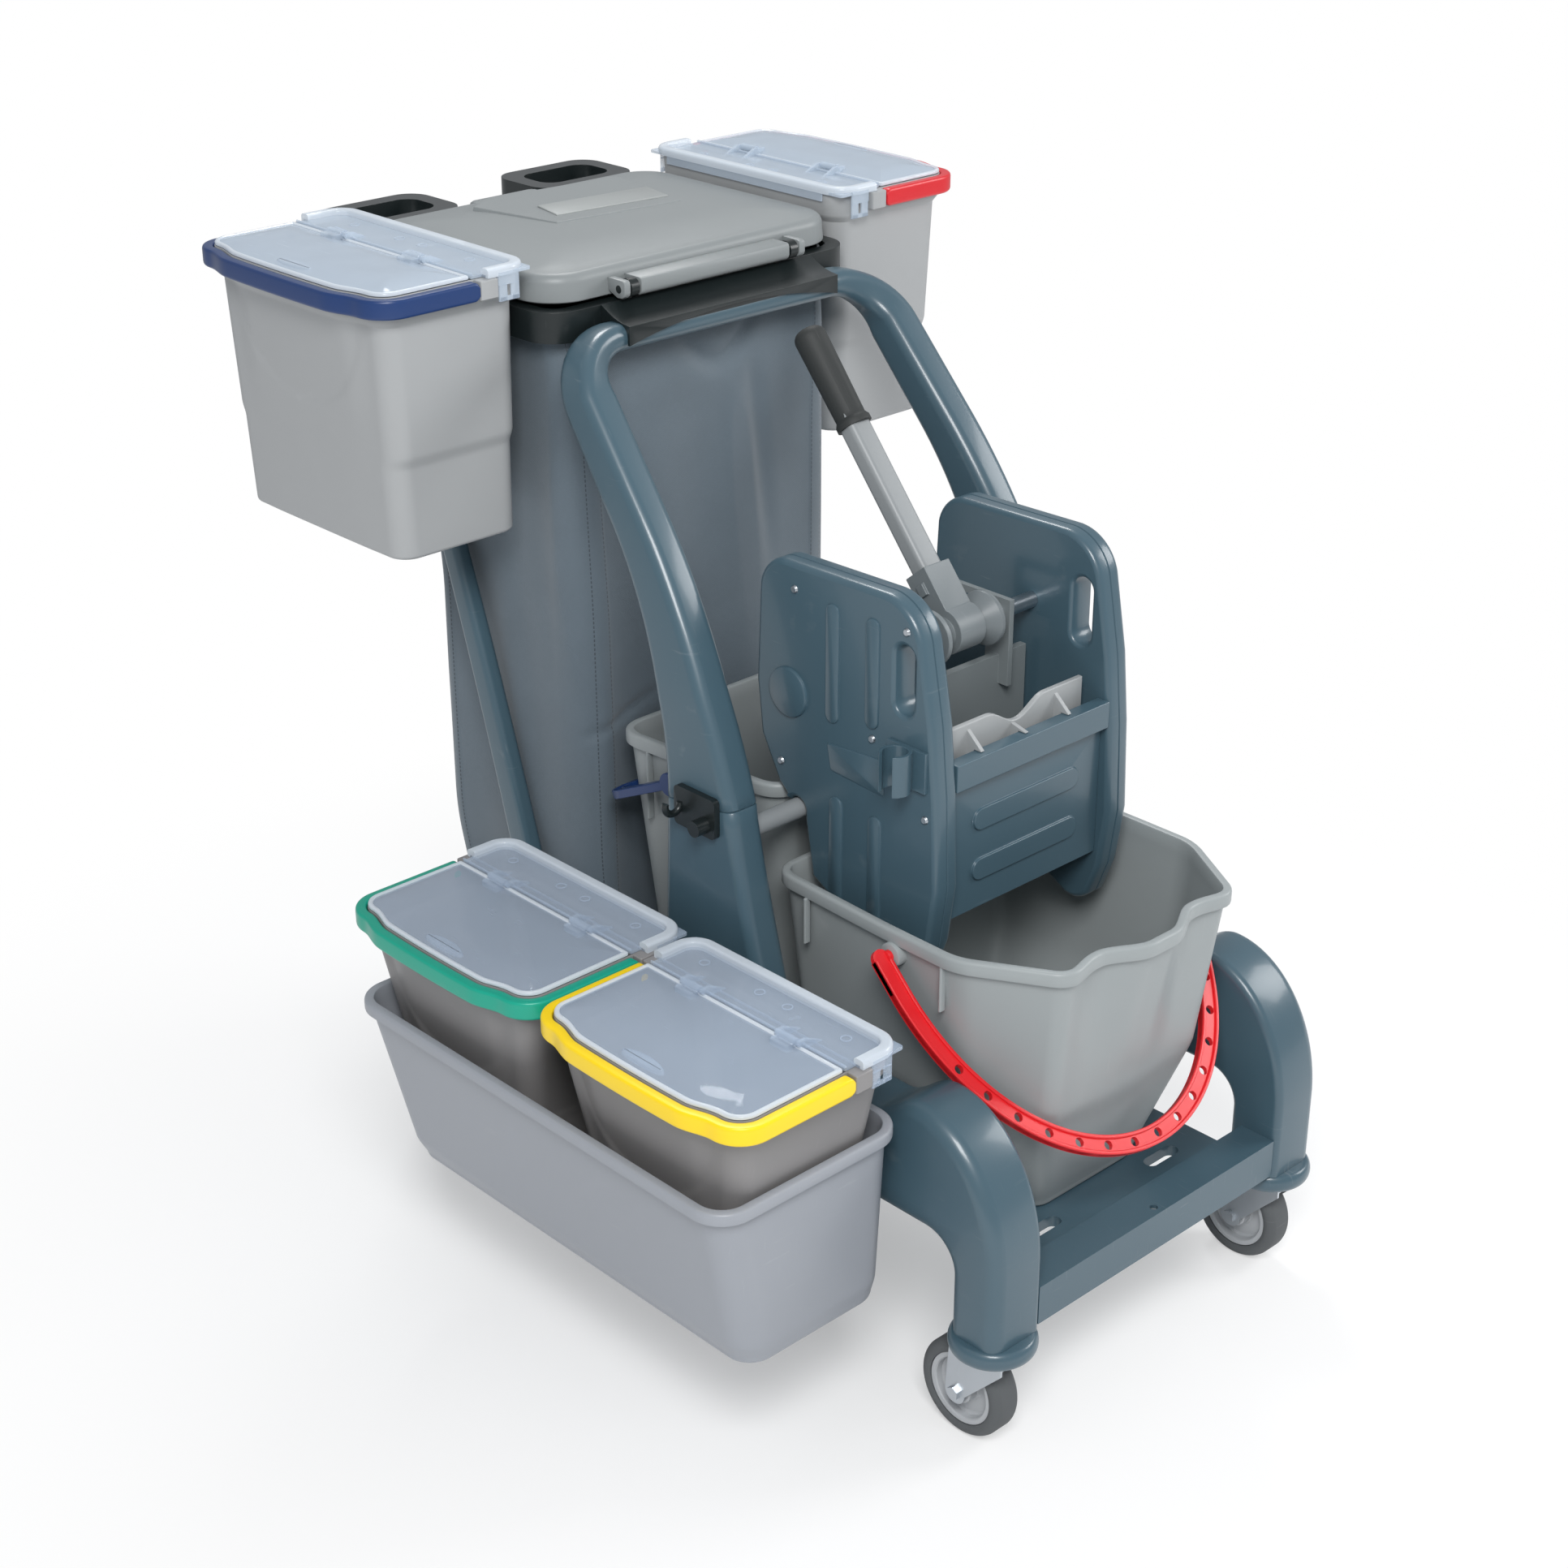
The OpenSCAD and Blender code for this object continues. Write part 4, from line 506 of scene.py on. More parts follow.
def clear_plastic(name, code, cover, haze):
    """Clear moulded lid: see-through by alpha up to its cover, a sagging gloss, and haze along rub marks and edges."""
    material, tree, shader = new_material(name)
    base = place_group(tree, skin, Colour=colour(code), Tone=0.03, Grain_size=300.0, Roughness=0.10, Gloss_change=0.1)
    marks = place_group(tree, rub, Amount=0.6)["Mask"]
    facing = add(tree, "ShaderNodeLayerWeight", {"Blend": 0.3}).outputs["Facing"]
    veil = ("ADD", ("ADD", cover, ("MULTIPLY", marks, haze)), ("MULTIPLY", facing, 0.35))
    place = tree.nodes.new("ShaderNodeTexCoord").outputs["Object"]
    sag = bumped(tree, noise(tree, place, 15.0, 1.0), 0.30, 0.004)
    feed(tree, shader, {"Base Color": base["Colour"], "Roughness": base["Roughness"], "Alpha": formula(tree, veil),
                        "Normal": bumped(tree, base["Height"], 0.06, 0.0004, Normal=sag), "IOR": PLASTIC_IOR})
    return material


zinc = zinc_steel("zinc_steel", "#c3c8cd", 0.34)
clear = clear_plastic("clear_plastic", "#c3d3e6", 0.22, 0.15)
milky = clear_plastic("milky_plastic", "#cbd8e6", 0.40, 0.20)
frosted = clear_plastic("frosted_plastic", "#e3ebf3", 0.55, 0.22)
print("materials:", len(bpy.data.materials))

# %% [markdown]
# ## Base
# Each side frame is one thick moulding: two legs, a shoulder over the front foot and a beam between them. Its side
# view is an outline of straights, ellipses and one cosine ramp, and its long edges are rounded by moving that outline
# inwards in steps while it is carried across the frame's width. A post foot grows out of each beam.

# %% Side frames
SIDE_IN, SIDE_OUT, FOOT_Z, BEAM_TOP = 174.0, 238.0, 125.0, 313.0
FEET = {"front_left": (-206.0, -20.0), "front_right": (206.0, -20.0),
        "rear_left": (-206.0, 770.0), "rear_right": (206.0, 770.0)}


def side_view():
    """Outline of a side frame in (y, z): legs, an arch of quarter circles, elliptic ends, and a cosine ramp."""
    k = np.linspace(1.0, 0.0, 16)[:-1]
    ramp = np.column_stack([59.0 + 60.0 * k, BEAM_TOP + 15.0 * (1.0 + np.cos(np.pi * k))])
    return np.vstack([[(-49.0, FOOT_Z), (9.0, FOOT_Z)], arc((42.0, 185.0), 33.0, 33.0, 180, 90, 16),
                      arc((708.0, 185.0), 33.0, 33.0, 90, 0, 16), [(741.0, FOOT_Z), (799.0, FOOT_Z)],
                      arc((719.0, 200.0), 80.0, 113.0, 0, 90, 28), ramp,
                      arc((59.0, 200.0), 108.0, 143.0, 90, 180, 40)])


def edge_steps(low, high, r_low, r_high, count=7):
    """Pairs of (place, inset) across a thickness whose two edges are quarter rounds of their own radii."""
    a = np.radians(np.linspace(90.0, 0.0, count))
    start = [(low + r_low * (1.0 - math.sin(t)), r_low * (1.0 - math.cos(t))) for t in a]
    end = [(high - r_high * (1.0 - math.sin(t)), r_high * (1.0 - math.cos(t))) for t in a[::-1]]
    return start + end


outline = side_view()
rings = np.stack([across(inset(outline, d), x) for x, d in edge_steps(SIDE_IN, SIDE_OUT, 8.0, 15.0)])
rings[:, outline[:, 1] == FOOT_Z, 2] = FOOT_Z
piece("side_frame_shells", both_sides(loft(rings)), "side_frames", slate, angle=60.0)
print("side frames:", rings.shape[0], "rings of", rings.shape[1])

# %% [markdown]
# A post is a rounded rectangle carried along the arch's path. Its depth shrinks from the split line to the top while
# it leans back along an arc. The same ring draws the foot below the split line, so the two meet exactly, with a fine
# groove between them.

# %% Arch and post feet
ARCH_Y, ARCH_Z, ARCH_R = 338.0, 470.0, 505.0
LEAN, SPLIT = math.radians(39.5), math.radians(8.0)
SPLIT_Y, SPLIT_Z = ARCH_Y + ARCH_R * (1.0 - math.cos(SPLIT)), ARCH_Z + ARCH_R * math.sin(SPLIT)
CORNER_R, BAR_Z = 60.0, 922.0
CORNER_Z = BAR_Z - CORNER_R * math.cos(LEAN)
CORNER_Y = (ARCH_Y + ARCH_R * (1.0 - math.cos(LEAN))
            + (CORNER_Z - ARCH_Z - ARCH_R * math.sin(LEAN)) * math.tan(LEAN))
POST_X, POST_HALF, POST_DEPTH, POST_R = 218.0, 20.0, 47.0, 12.0
GROOVE, LIP = 1.4, 1.2


def post_ring(centre, way, half_depth, half_width, r):
    """Rounded rectangle across the direction way: depth along v, which points forwards, width along u = way x v."""
    way = np.asarray(way, float) / np.linalg.norm(way)
    v = np.array([0.0, -1.0, 0.0]) + way[1] * way
    v = v / np.linalg.norm(v)
    u = np.cross(way, v)
    flat = round_box(-half_depth, -half_width, half_depth, half_width, r, 8)
    return np.asarray(centre, float) + flat[:, :1] * v + flat[:, 1:] * u


def arch_stations():
    """Centres, half depths and half widths of the arch from the right split line over the top to the left one."""
    a = np.linspace(SPLIT, LEAN, 22)
    y, z = ARCH_Y + ARCH_R * (1.0 - np.cos(a)), ARCH_Z + ARCH_R * np.sin(a)
    x = POST_X - 18.0 * np.clip((z - 640.0) / (CORNER_Z - 640.0), 0.0, 1.0) ** 1.1
    depth = 22.0 + 25.0 * np.clip((CORNER_Z - z) / (CORNER_Z - SPLIT_Z), 0.0, 1.0) ** 2
    b = np.radians(np.linspace(0.0, 90.0, 16))
    k = np.linspace(0.0, 1.0, 16)
    bend = [200.0 - CORNER_R * (1.0 - np.cos(b)), CORNER_Y + CORNER_R * np.sin(b) * math.sin(LEAN),
            CORNER_Z + CORNER_R * np.sin(b) * math.cos(LEAN), 22.0 - 5.0 * k, POST_HALF - 7.0 * k]
    half = np.vstack([np.column_stack([x, y, z, depth, np.full(22, POST_HALF)]), np.column_stack(bend)])
    return np.vstack([half, half[::-1] * np.array([-1.0, 1.0, 1.0, 1.0, 1.0])])


stations = arch_stations()
up = np.array([0.0, math.sin(SPLIT), math.cos(SPLIT)])
way = np.gradient(stations[:, :3], axis=0)
way[0], way[-1] = up, -up
rings = [post_ring(s[:3], t, s[3], s[4], min(POST_R, s[4] - 1.0)) for s, t in zip(stations, way)]
for end in (0, -1):
    rings[end] = post_ring(stations[end, :3] + up * GROOVE, way[end], POST_DEPTH, POST_HALF, POST_R)
lips = [post_ring(stations[end, :3], way[end], POST_DEPTH - LIP, POST_HALF - LIP, POST_R - 1.0) for end in (0, -1)]
piece("arch_shell", loft([lips[0]] + rings + [lips[1]]), "arch", slate, angle=50.0)


def foot_rings():
    """Rings of a post foot from inside the beam to the split line: the front edge sweeps forwards to the beam."""
    rings = []
    for k in np.concatenate([[1.06], np.linspace(1.0, 0.0, 16)]):
        lean = SPLIT * (1.0 - min(k, 1.0))
        z = SPLIT_Z - (SPLIT_Z - BEAM_TOP) * k
        flare = 14.0 * max(0.0, (k - 0.86) / 0.14) ** 2
        spread = 58.0 * max(k, 0.0) ** 1.2
        centre = (POST_X, SPLIT_Y - spread / 2.0 + 4.0 * k, z)
        depth = POST_DEPTH + spread / 2.0 + 4.0 * k + flare
        rings.append(post_ring(centre, (0.0, math.sin(lean), math.cos(lean)), depth, POST_HALF, POST_R))
    top = (POST_X, SPLIT_Y - GROOVE * math.sin(SPLIT), SPLIT_Z - GROOVE)
    rings[-1] = post_ring(top, up, POST_DEPTH, POST_HALF, POST_R)
    lip = post_ring((POST_X, SPLIT_Y, SPLIT_Z - 0.1), up, POST_DEPTH - LIP, POST_HALF - LIP, POST_R - 1.0)
    return rings + [lip]


piece("post_foot_shells", both_sides(loft(foot_rings())), "post_feet", slate, angle=50.0)
print("arch:", len(rings), "rings, split line at", round(SPLIT_Z, 1), "mm")

# %% [markdown]
# The slim rear posts are the same kind of sweep, bowed a little. The decks and the front crossbar keep their solids.

# %% Rear posts and decks
k = np.linspace(0.0, 1.0, 24)
rear_y = 650.0 + 202.0 * k - 10.0 * np.sin(np.pi * k)
rear_z = BEAM_TOP + (918.0 - BEAM_TOP) * k
tilt = np.column_stack([np.zeros(24), np.gradient(rear_y), np.gradient(rear_z)])
tilt[[0, -1]] = (0.0, 0.0, 1.0)
rings = [post_ring((192.0, y, z), t, 17.0 - 7.0 * q, 10.0, 7.0) for y, z, t, q in zip(rear_y, rear_z, tilt, k)]
piece("rear_post_shells", both_sides(loft(rings)), "rear_posts", slate, angle=50.0)
dressed("platform", slate, bevel=1.6)
dressed("rear_deck", slate, bevel=1.6)
print("rear posts and decks dressed")

# %% [markdown]
# ## Casters
# A foot bumper, a tyre and a rim are turned shapes, so each is a closed profile spun once round its axis. Tyres and
# rims are the same on both faces, so half of a profile is listed and the rest is its mirror. The forks and the stems
# keep their solids.

# %% Bumpers, rims and tyres
WHEEL_R, TRAIL = 50.0, 26.0
bumper = np.vstack([arc((36.0, 115.5), 6.0, 9.5, -90, 90, 20), [(33.0, 125.0), (33.0, 106.0)]])
cap = [(30.0, 122.2), (33.5, 122.2), (33.5, 124.9), (8.4, 124.9), (8.4, 122.2)]
parts = [turned(p, (x, y, 0.0)) for x, y in FEET.values() for p in (bumper, cap)]
piece("foot_bumper_rings", together(*parts), "foot_bumpers", slate)
tyre_half = np.vstack([[(37.2, -14.6), (39.0, -15.6), (41.5, -16.0)], arc((41.0, -7.0), 9.0, 9.0, -80, -12, 9)])
rim_half = np.array([(5.1, -16.0), (12.5, -16.0), (14.0, -14.6), (14.6, -6.0), (17.0, -4.4), (28.0, -4.0),
                     (30.4, -6.0), (31.2, -12.0), (32.2, -13.2), (36.6, -13.4), (37.0, -12.6)])
tyre, rim = [np.vstack([half, half[::-1] * np.array([1.0, -1.0])]) for half in (tyre_half, rim_half)]
for foot, (x, y) in FEET.items():
    axle = (x, y + TRAIL, WHEEL_R)
    piece(foot + "_tyre_ring", turned(tyre, axle, "x", 96), foot + "_tyre", rubber)
    piece(foot + "_rim_disc", turned(rim, axle, "x", 72), foot + "_rim", rim_grey, angle=30.0)
    dressed(foot + "_fork", zinc, bevel=0.5)
dressed("caster_stems", zinc, bevel=0.5)
print("casters:", len(FEET))

# %% [markdown]
# ## Bag
# The bag is a cup of coated cloth that hangs in the frame and stands on the rear deck. A small table gives its width,
# front and back at a few heights, and the rows between are eased. Cloth that hangs from a frame falls in long upright
# folds, pulls into a V below the middle of the mouth, and creases sideways where it settles. Each fold is a wave of
# the distance round the bag, bent slowly with height, and the waves fade out at the mouth and at the floor. Every
# corner carries a sewn strip that stands out by less than a millimetre.

# %% Cloth
CLOTH = np.array([  # height, half width, front, back, front corner, back corner
    (232.6, 159.0, 592.0, 792.0, 30.0, 20.0), (246.0, 168.0, 583.0, 803.0, 34.0, 20.0),
    (316.0, 173.0, 578.5, 812.0, 40.0, 20.0), (353.0, 177.0, 578.5, 814.0, 42.0, 20.0),
    (632.0, 178.0, 578.5, 810.0, 42.0, 20.0), (868.0, 178.0, 584.0, 847.0, 34.0, 22.0),
    (915.0, 181.0, 598.6, 870.5, 24.0, 24.0), (946.0, 181.0, 598.6, 870.5, 24.0, 24.0)])
BAG_LOW, BAG_TOP = 232.6, 946.0
CLOTH_THICK, CLOTH_OUT = 2.2, -3.2
INSIDE_STEP = -3


def cloth_rows(height):
    """Table values at the wanted heights, eased by a mean over neighbouring heights."""
    wide = np.arange(-24.0, 25.0, 6.0)
    reach = wide * np.clip((height[:, None] - 232.0) / 40.0, 0.0, 1.0)
    at = np.clip(height[:, None] + reach, BAG_LOW, BAG_TOP)
    return np.column_stack([np.interp(at, CLOTH[:, 0], column).mean(axis=1) for column in CLOTH.T[1:]])


def cloth_ring(half, front, back, r_front, r_back):
    """Plan of the bag from the middle of its back round to there again, each side with its own count of points."""
    middle = (0.0, back)
    line, start = [], middle
    for x, y, r, turn, count, run in ((r_back - half, back - r_back, r_back, 90, 24, 44),
                                      (r_front - half, front + r_front, r_front, 180, 30, 70),
                                      (half - r_front, front + r_front, r_front, 270, 30, 110),
                                      (half - r_back, back - r_back, r_back, 0, 24, 70)):
        corner = arc((x, y), r, r, turn, turn + 90, count)
        line += [np.linspace(start, corner[0], run, endpoint=False), corner[:-1]]
        start = corner[-1]
    return np.vstack(line + [np.linspace(start, middle, 44, endpoint=False)])


middle = cloth_ring(*cloth_rows(np.array([560.0]))[0])
ROUND = run_length(middle)
CORNERS = [float(ROUND[np.argmin(np.hypot(middle[:, 0] - x, middle[:, 1] - y))]) for x, y in
           ((-150.0, 576.0), (150.0, 576.0), (-178.0, 800.0), (178.0, 800.0))]


def hump(distance, width):
    """Bell curve: the exponential of minus the square of distance over width."""
    return np.exp(-(distance / width) ** 2)


def folds(around, height, place):
    """How far the cloth falls inwards: three waves round the bag, a V under the mouth, creases lower down."""
    u, z = around[None, :], height[:, None]
    wave = (2.8 * np.sin(u / 36.0 + 0.9 + 0.6 * np.sin(z / 170.0))
            + 2.2 * np.sin(u / 18.4 + 2.0 + 0.9 * np.sin(z / 120.0 + u / 300.0))
            + 0.8 * np.sin(u / 9.3 + 1.6 * np.sin(z / 95.0)) * (0.5 + 0.5 * np.sin(u / 70.0 + z / 210.0)))
    gate = smooth((912.0 - z) / 150.0) * smooth((z - 246.0) / 70.0)
    x, front = place[..., 0], smooth((604.0 - place[..., 1]) / 18.0)
    reach, drop = np.abs(x - 16.0) / 62.0, 862.0 - z
    vee = (7.0 * hump(drop + 46.0 * np.minimum(reach, 1.3) ** 1.6, 11.0) * smooth(1.3 - reach)
           + 6.0 * hump(x - 58.0 - drop * 0.10, 13.0) * smooth((880.0 - z) / 70.0) * smooth((z - 560.0) / 200.0)
           - 3.2 * hump(x - 30.0 - drop * 0.05, 12.0) * smooth((850.0 - z) / 60.0) * smooth((z - 600.0) / 160.0))
    slant = z - 520.0 - 0.30 * (x + 120.0)
    crease = (4.5 * hump(slant, 5.0) * hump(x + 122.0, 46.0)
              + 2.0 * hump(slant + 44.0 + 0.2 * x, 6.0) * hump(x + 60.0, 60.0)
              + 2.2 * hump(z - 330.0 + 0.25 * x, 7.0) * hump(x - 30.0, 90.0))
    return gate * (1.0 + wave) + front * gate * crease + front * vee * smooth((934.0 - z) / 20.0)


def strips(around, height):
    """Sewn strips: a flat band about 19 mm wide at each corner, which stands out by 0.9 mm, from deck to mouth."""
    u, z = around[None, :], height[:, None]
    band = sum(smooth((11.0 - np.abs(u - c)) / 2.6) for c in CORNERS)
    return 0.9 * band * smooth((930.0 - z) / 20.0) * smooth((z - 240.0) / 20.0)


height = np.concatenate([np.linspace(BAG_LOW, 262.0, 12)[:-1], np.linspace(262.0, 912.0, 118)[:-1],
                         np.linspace(912.0, 945.6, 8)])
flat = np.stack([cloth_ring(*row) for row in cloth_rows(height)])
place = np.stack([level(ring, z) for ring, z in zip(flat, height)])
unit = np.stack([level(inset(ring, 1.0) - ring, 0.0) for ring in flat])
unit = unit / np.linalg.norm(unit, axis=2, keepdims=True)
bulge = np.maximum(folds(ROUND, height, place) - strips(ROUND, height), CLOTH_OUT)
outside = place + unit * bulge[..., None]
inside = (place + unit * (np.maximum(bulge, -1.0) + CLOTH_THICK)[..., None])[::INSIDE_STEP]
inside[..., 2] = np.maximum(inside[..., 2], 236.0)
bag_shape = loft(np.concatenate([outside, inside]))
print("bag:", len(bag_shape[0]), "points, corners at", np.round(CORNERS).tolist())

# %% [markdown]
# The cloth is a plain weave with a dull coating. Its threads run round and up the bag, so the weave is drawn on a pair
# of values kept on the mesh: the distance round and the height, both in metres. Rows of stitches follow the edges of
# the sewn strips as short raised dashes.

# %% Cloth material
weave, given, out = new_group("plain_weave", {"Vector": ORIGIN, "Thread": 900.0}, {"Height": 1, "Tone": 1})
thread_at = add(weave, "ShaderNodeSeparateXYZ", {0: given["Vector"]}).outputs
turns = [("SINE", ("MULTIPLY", thread_at[k], ("MULTIPLY", given["Thread"], 6.2832))) for k in (0, 1)]
slub = noise(weave, given["Vector"], 240.0, 3.0, stretch=(1.0, 5.0, 1.0))
patchy = noise(weave, given["Vector"], 14.0, 4.0)
feed(weave, out, {"Height": formula(weave, ("ADD", ("MULTIPLY", ("MULTIPLY", *turns), 0.5), slub)),
                  "Tone": formula(weave, ("ADD", ("MULTIPLY", slub, 0.5), ("MULTIPLY", patchy, 0.5)))})

stitch, given, out = new_group("stitch_rows", {"Vector": ORIGIN, "Row": 0.3, "Half gap": 0.0085}, {"Mask": 1})
stitch_at = add(stitch, "ShaderNodeSeparateXYZ", {0: given["Vector"]}).outputs
off = ("ABSOLUTE", ("SUBTRACT", stitch_at[0], given["Row"]))
near = ("LESS_THAN", ("ABSOLUTE", ("SUBTRACT", off, given["Half gap"])), 0.0006)
dash = ("LESS_THAN", ("FRACT", ("MULTIPLY", stitch_at[1], 210.0)), 0.62)
feed(stitch, out, {"Mask": formula(stitch, ("MULTIPLY", near, dash))})

cloth, tree, shader = new_material("bag_cloth")
threads = add(tree, "ShaderNodeAttribute", {}, attribute_name="round_and_up").outputs["Vector"]
yarn = place_group(tree, weave, threads, Thread=620.0)
rows = [place_group(tree, stitch, threads, Row=c / 1000.0)["Mask"] for c in CORNERS]
sewn = formula(tree, ("MAXIMUM", ("MAXIMUM", rows[0], rows[1]), ("MAXIMUM", rows[2], rows[3])))
dye = mixed(tree, yarn["Tone"], colour("#4f5b64"), colour("#66747e"))
raised_by = formula(tree, ("ADD", yarn["Height"], sewn))
feed(tree, shader, {"Base Color": mixed(tree, sewn, dye, colour("#3c444b")),
                    "Normal": bumped(tree, raised_by, 0.35, 0.0005),
                    "Roughness": 0.62, "Sheen Weight": 0.25, "Sheen Roughness": 0.5})
bag = piece("bag_cloth", bag_shape, "bag", cloth, angle=70.0)
rows_up = np.concatenate([height, height[::INSIDE_STEP]])
values = np.zeros((len(rows_up), len(ROUND), 3))
values[..., 0], values[..., 1] = ROUND[None, :] / 1000.0, rows_up[:, None] / 1000.0
bag.data.attributes.new("round_and_up", "FLOAT_VECTOR", "POINT").data.foreach_set("vector", values.ravel())
print("cloth rows:", len(rows_up))

# %% [markdown]
# ## Bag frame, cover and lid
# The black frame keeps its solid, with rounder edges. The lid is a shallow dish turned upside down: a drafted wall, a
# soft round edge and a top that swells by a few millimetres. It carries a wedge with a bare plate, a tab at the back
# and the hinge bar at the front, whose ears show the ends of the pins.

# %% Lid
LID_LOW, LID_EDGE = 952.0, 979.0
LID_HALF, LID_FRONT, LID_BACK = 192.0, 592.55, 892.55
CROWN_IN, CROWN_RUN, CROWN_RISE = 12.0, 74.0, 6.4
dressed("bag_frame", black, bevel=2.2)
dressed("arch_cover", black, bevel=1.0, angle=50.0)
dressed("lid_hinge_pins", black, bevel=0.4)


def crown(d):
    """Height of the swollen top, d millimetres in from where it starts: a parabola that ends level."""
    return LID_EDGE - 0.4 + CROWN_RISE * (1.0 - (1.0 - np.clip(d / CROWN_RUN, 0.0, 1.0)) ** 2)


def lid_top(p):
    """Crown of the lid over points of its plan."""
    d = np.minimum(np.minimum(LID_HALF - np.abs(p[:, 0]), LID_BACK - p[:, 1]), p[:, 1] - LID_FRONT)
    return crown(d - CROWN_IN)


def lid_ring(d):
    """Lid outline moved in by d, with corners that tighten as it shrinks."""
    plan = round_box(d - LID_HALF, LID_FRONT + d, LID_HALF - d, LID_BACK - d, max(44.0 - d, 10.0), 24)
    return even(plan, 320)


a = np.radians(np.linspace(0.0, 90.0, 10))
under = [(24.0, LID_EDGE - 2.0), (8.0, LID_EDGE - 4.0), (3.6, LID_EDGE - 9.0), (3.0, LID_LOW + 1.0), (2.2, LID_LOW),
         (0.8, LID_LOW), (0.0, LID_LOW + 1.0)]
edge = np.column_stack([1.2 + 9.0 * (1.0 - np.cos(a)), LID_EDGE - 10.0 + 9.6 * np.sin(a)])
d = np.linspace(2.0, CROWN_RUN, 14)
profile = np.vstack([under, edge, np.column_stack([CROWN_IN + d, crown(d)])])
shell = loft([level(lid_ring(d), z) for d, z in profile])
hinge_bar = np.array([(593.4, 957.2), (579.5, 951.2), (572.6, 951.8), (569.8, 954.0), (568.7, 957.0), (568.7, 965.0),
                      (569.6, 967.6), (572.0, 968.9), (593.4, 969.0)])[::-1]
bars = [loft([across(inset(hinge_bar, d), x) for x, d in edge_steps(x0, x1, 0.8, 0.8, 3)])
        for x0, x1 in ((-97.0, 97.0), (-118.3, -110.5), (110.5, 118.3))]
tab = loft([level(round_box(-44.0 + d, 886.0 + d, 44.0 - d, 908.5 - d, 7.0, 8), z)
            for d, z in ((1.0, 956.0), (0.0, 957.0), (0.0, 971.0), (0.6, 973.4), (2.2, 975.0))])
piece("bag_lid_shell", together(shell, tab, *bars), "bag_lid", lid_grey, angle=38.0)


def wedge_top(p, low, high):
    """Wedge face over the lid: low millimetres above it at the wide front edge, high at the back."""
    k = np.clip((p[:, 1] - 722.0) / 150.0, 0.0, 1.0)
    return np.column_stack([p, lid_top(p) + low + (high - low) * k])


wedge = np.array([(-63.0, 736.0), (92.0, 722.0), (112.0, 850.0), (-48.0, 872.0), (-88.0, 842.0)])
rise = [wedge_top(wedge, -2.0, -2.0), wedge_top(inset(wedge, 2.0), 1.0, 5.0)]
piece("bag_lid_wedge", loft(rise), "bag_lid", lid_grey, bevel=1.0, stands_for=False)
plate = np.array([(-46.0, 757.0), (92.0, 745.0), (98.0, 786.0), (-38.0, 798.0)])
sheet = [wedge_top(plate, 0.2, 4.2), wedge_top(plate, 1.5, 5.5), wedge_top(inset(plate, 0.8), 1.9, 5.9)]
piece("bag_lid_plate", loft(sheet), "bag_lid", plate_grey, bevel=0.3, stands_for=False)
print("bag frame and lid dressed")

# %% [markdown]
# ## Caddy boxes
# Four boxes share one build: two deep ones hang on the bag frame, two tapered ones stand in the tub. Each is drawn
# with u from the hinge side to the front, v along the box and w up, then turned and moved to its place. The plan has
# round corners and a front that bows out in a soft wave. The wall drafts inwards to a step at the back and the ends,
# and the front carries a shallow U-shaped panel. A coloured bar runs round the front, and the lid is a fixed part with
# a hinged flap.

# %% Box walls
BOX_H, BAR_H, BOW, CORNER = 258.0, 18.0, 10.0, 22.0
FOOT_R, STEP_W, FLANGE_W, RIM_W, WALL = 4.0, 88.0, 228.0, 235.0, 2.5
HUNG = {"half": 142.0, "depth": 165.0, "floor": (13.0, 7.0, 15.0), "share": 0.35}
CADDY = {"half": 128.0, "depth": 186.0, "floor": (36.0, 12.0, 32.0), "share": 0.8}
PLACES = {"blue": ((-203.9, 751.55, 732.0), -1.0, HUNG), "red": ((203.9, 751.55, 732.0), 1.0, HUNG),
          "green": ((-272.0, 455.35, 166.3), -1.0, CADDY), "yellow": ((-272.0, 174.65, 166.3), -1.0, CADDY)}
SIDES = (-1.0, 1.0)


def box_piece(name, part, shape, node, material, angle):
    """Piece drawn in (u, v, w), turned to face its side of the cart and moved to its box's place."""
    origin, way, _ = PLACES[name]
    points = shape[0] * np.array([way, way, 1.0]) + np.array(origin)
    piece(name + part, (points, shape[1]), name + node, material, angle=angle)


def swell(k):
    """Share of the front's bow, k from -1 to 1 between its corners: a quick step at each and a slow parabola."""
    return 0.7 * smooth((0.97 - np.abs(k)) / 0.33) + 0.3 * (1.0 - k ** 2)


def bowed(x, y, back, bow, r, r_back, count):
    """Plan from back to x and from -y to y: round corners at the front and the back, and a bowed front edge."""
    k = np.linspace(-1.0, 1.0, 51)[1:-1]
    wave = np.column_stack([x + bow * swell(k), k * (y - r)])
    q = r_back
    return np.vstack([arc((x - r, r - y), r, r, -90, 0, 12), wave, arc((x - r, y - r), r, r, 0, 90, 12),
                      arc((back + q, y - q), q, q, 90, 180, count), arc((back + q, q - y), q, q, 180, 270, count)])


def box_plan(box, back, front, ends, bow):
    """Plan of a box moved in at the back, the front and the ends."""
    return bowed(box["depth"] - front, box["half"] - ends, back, bow, CORNER, CORNER, 12)


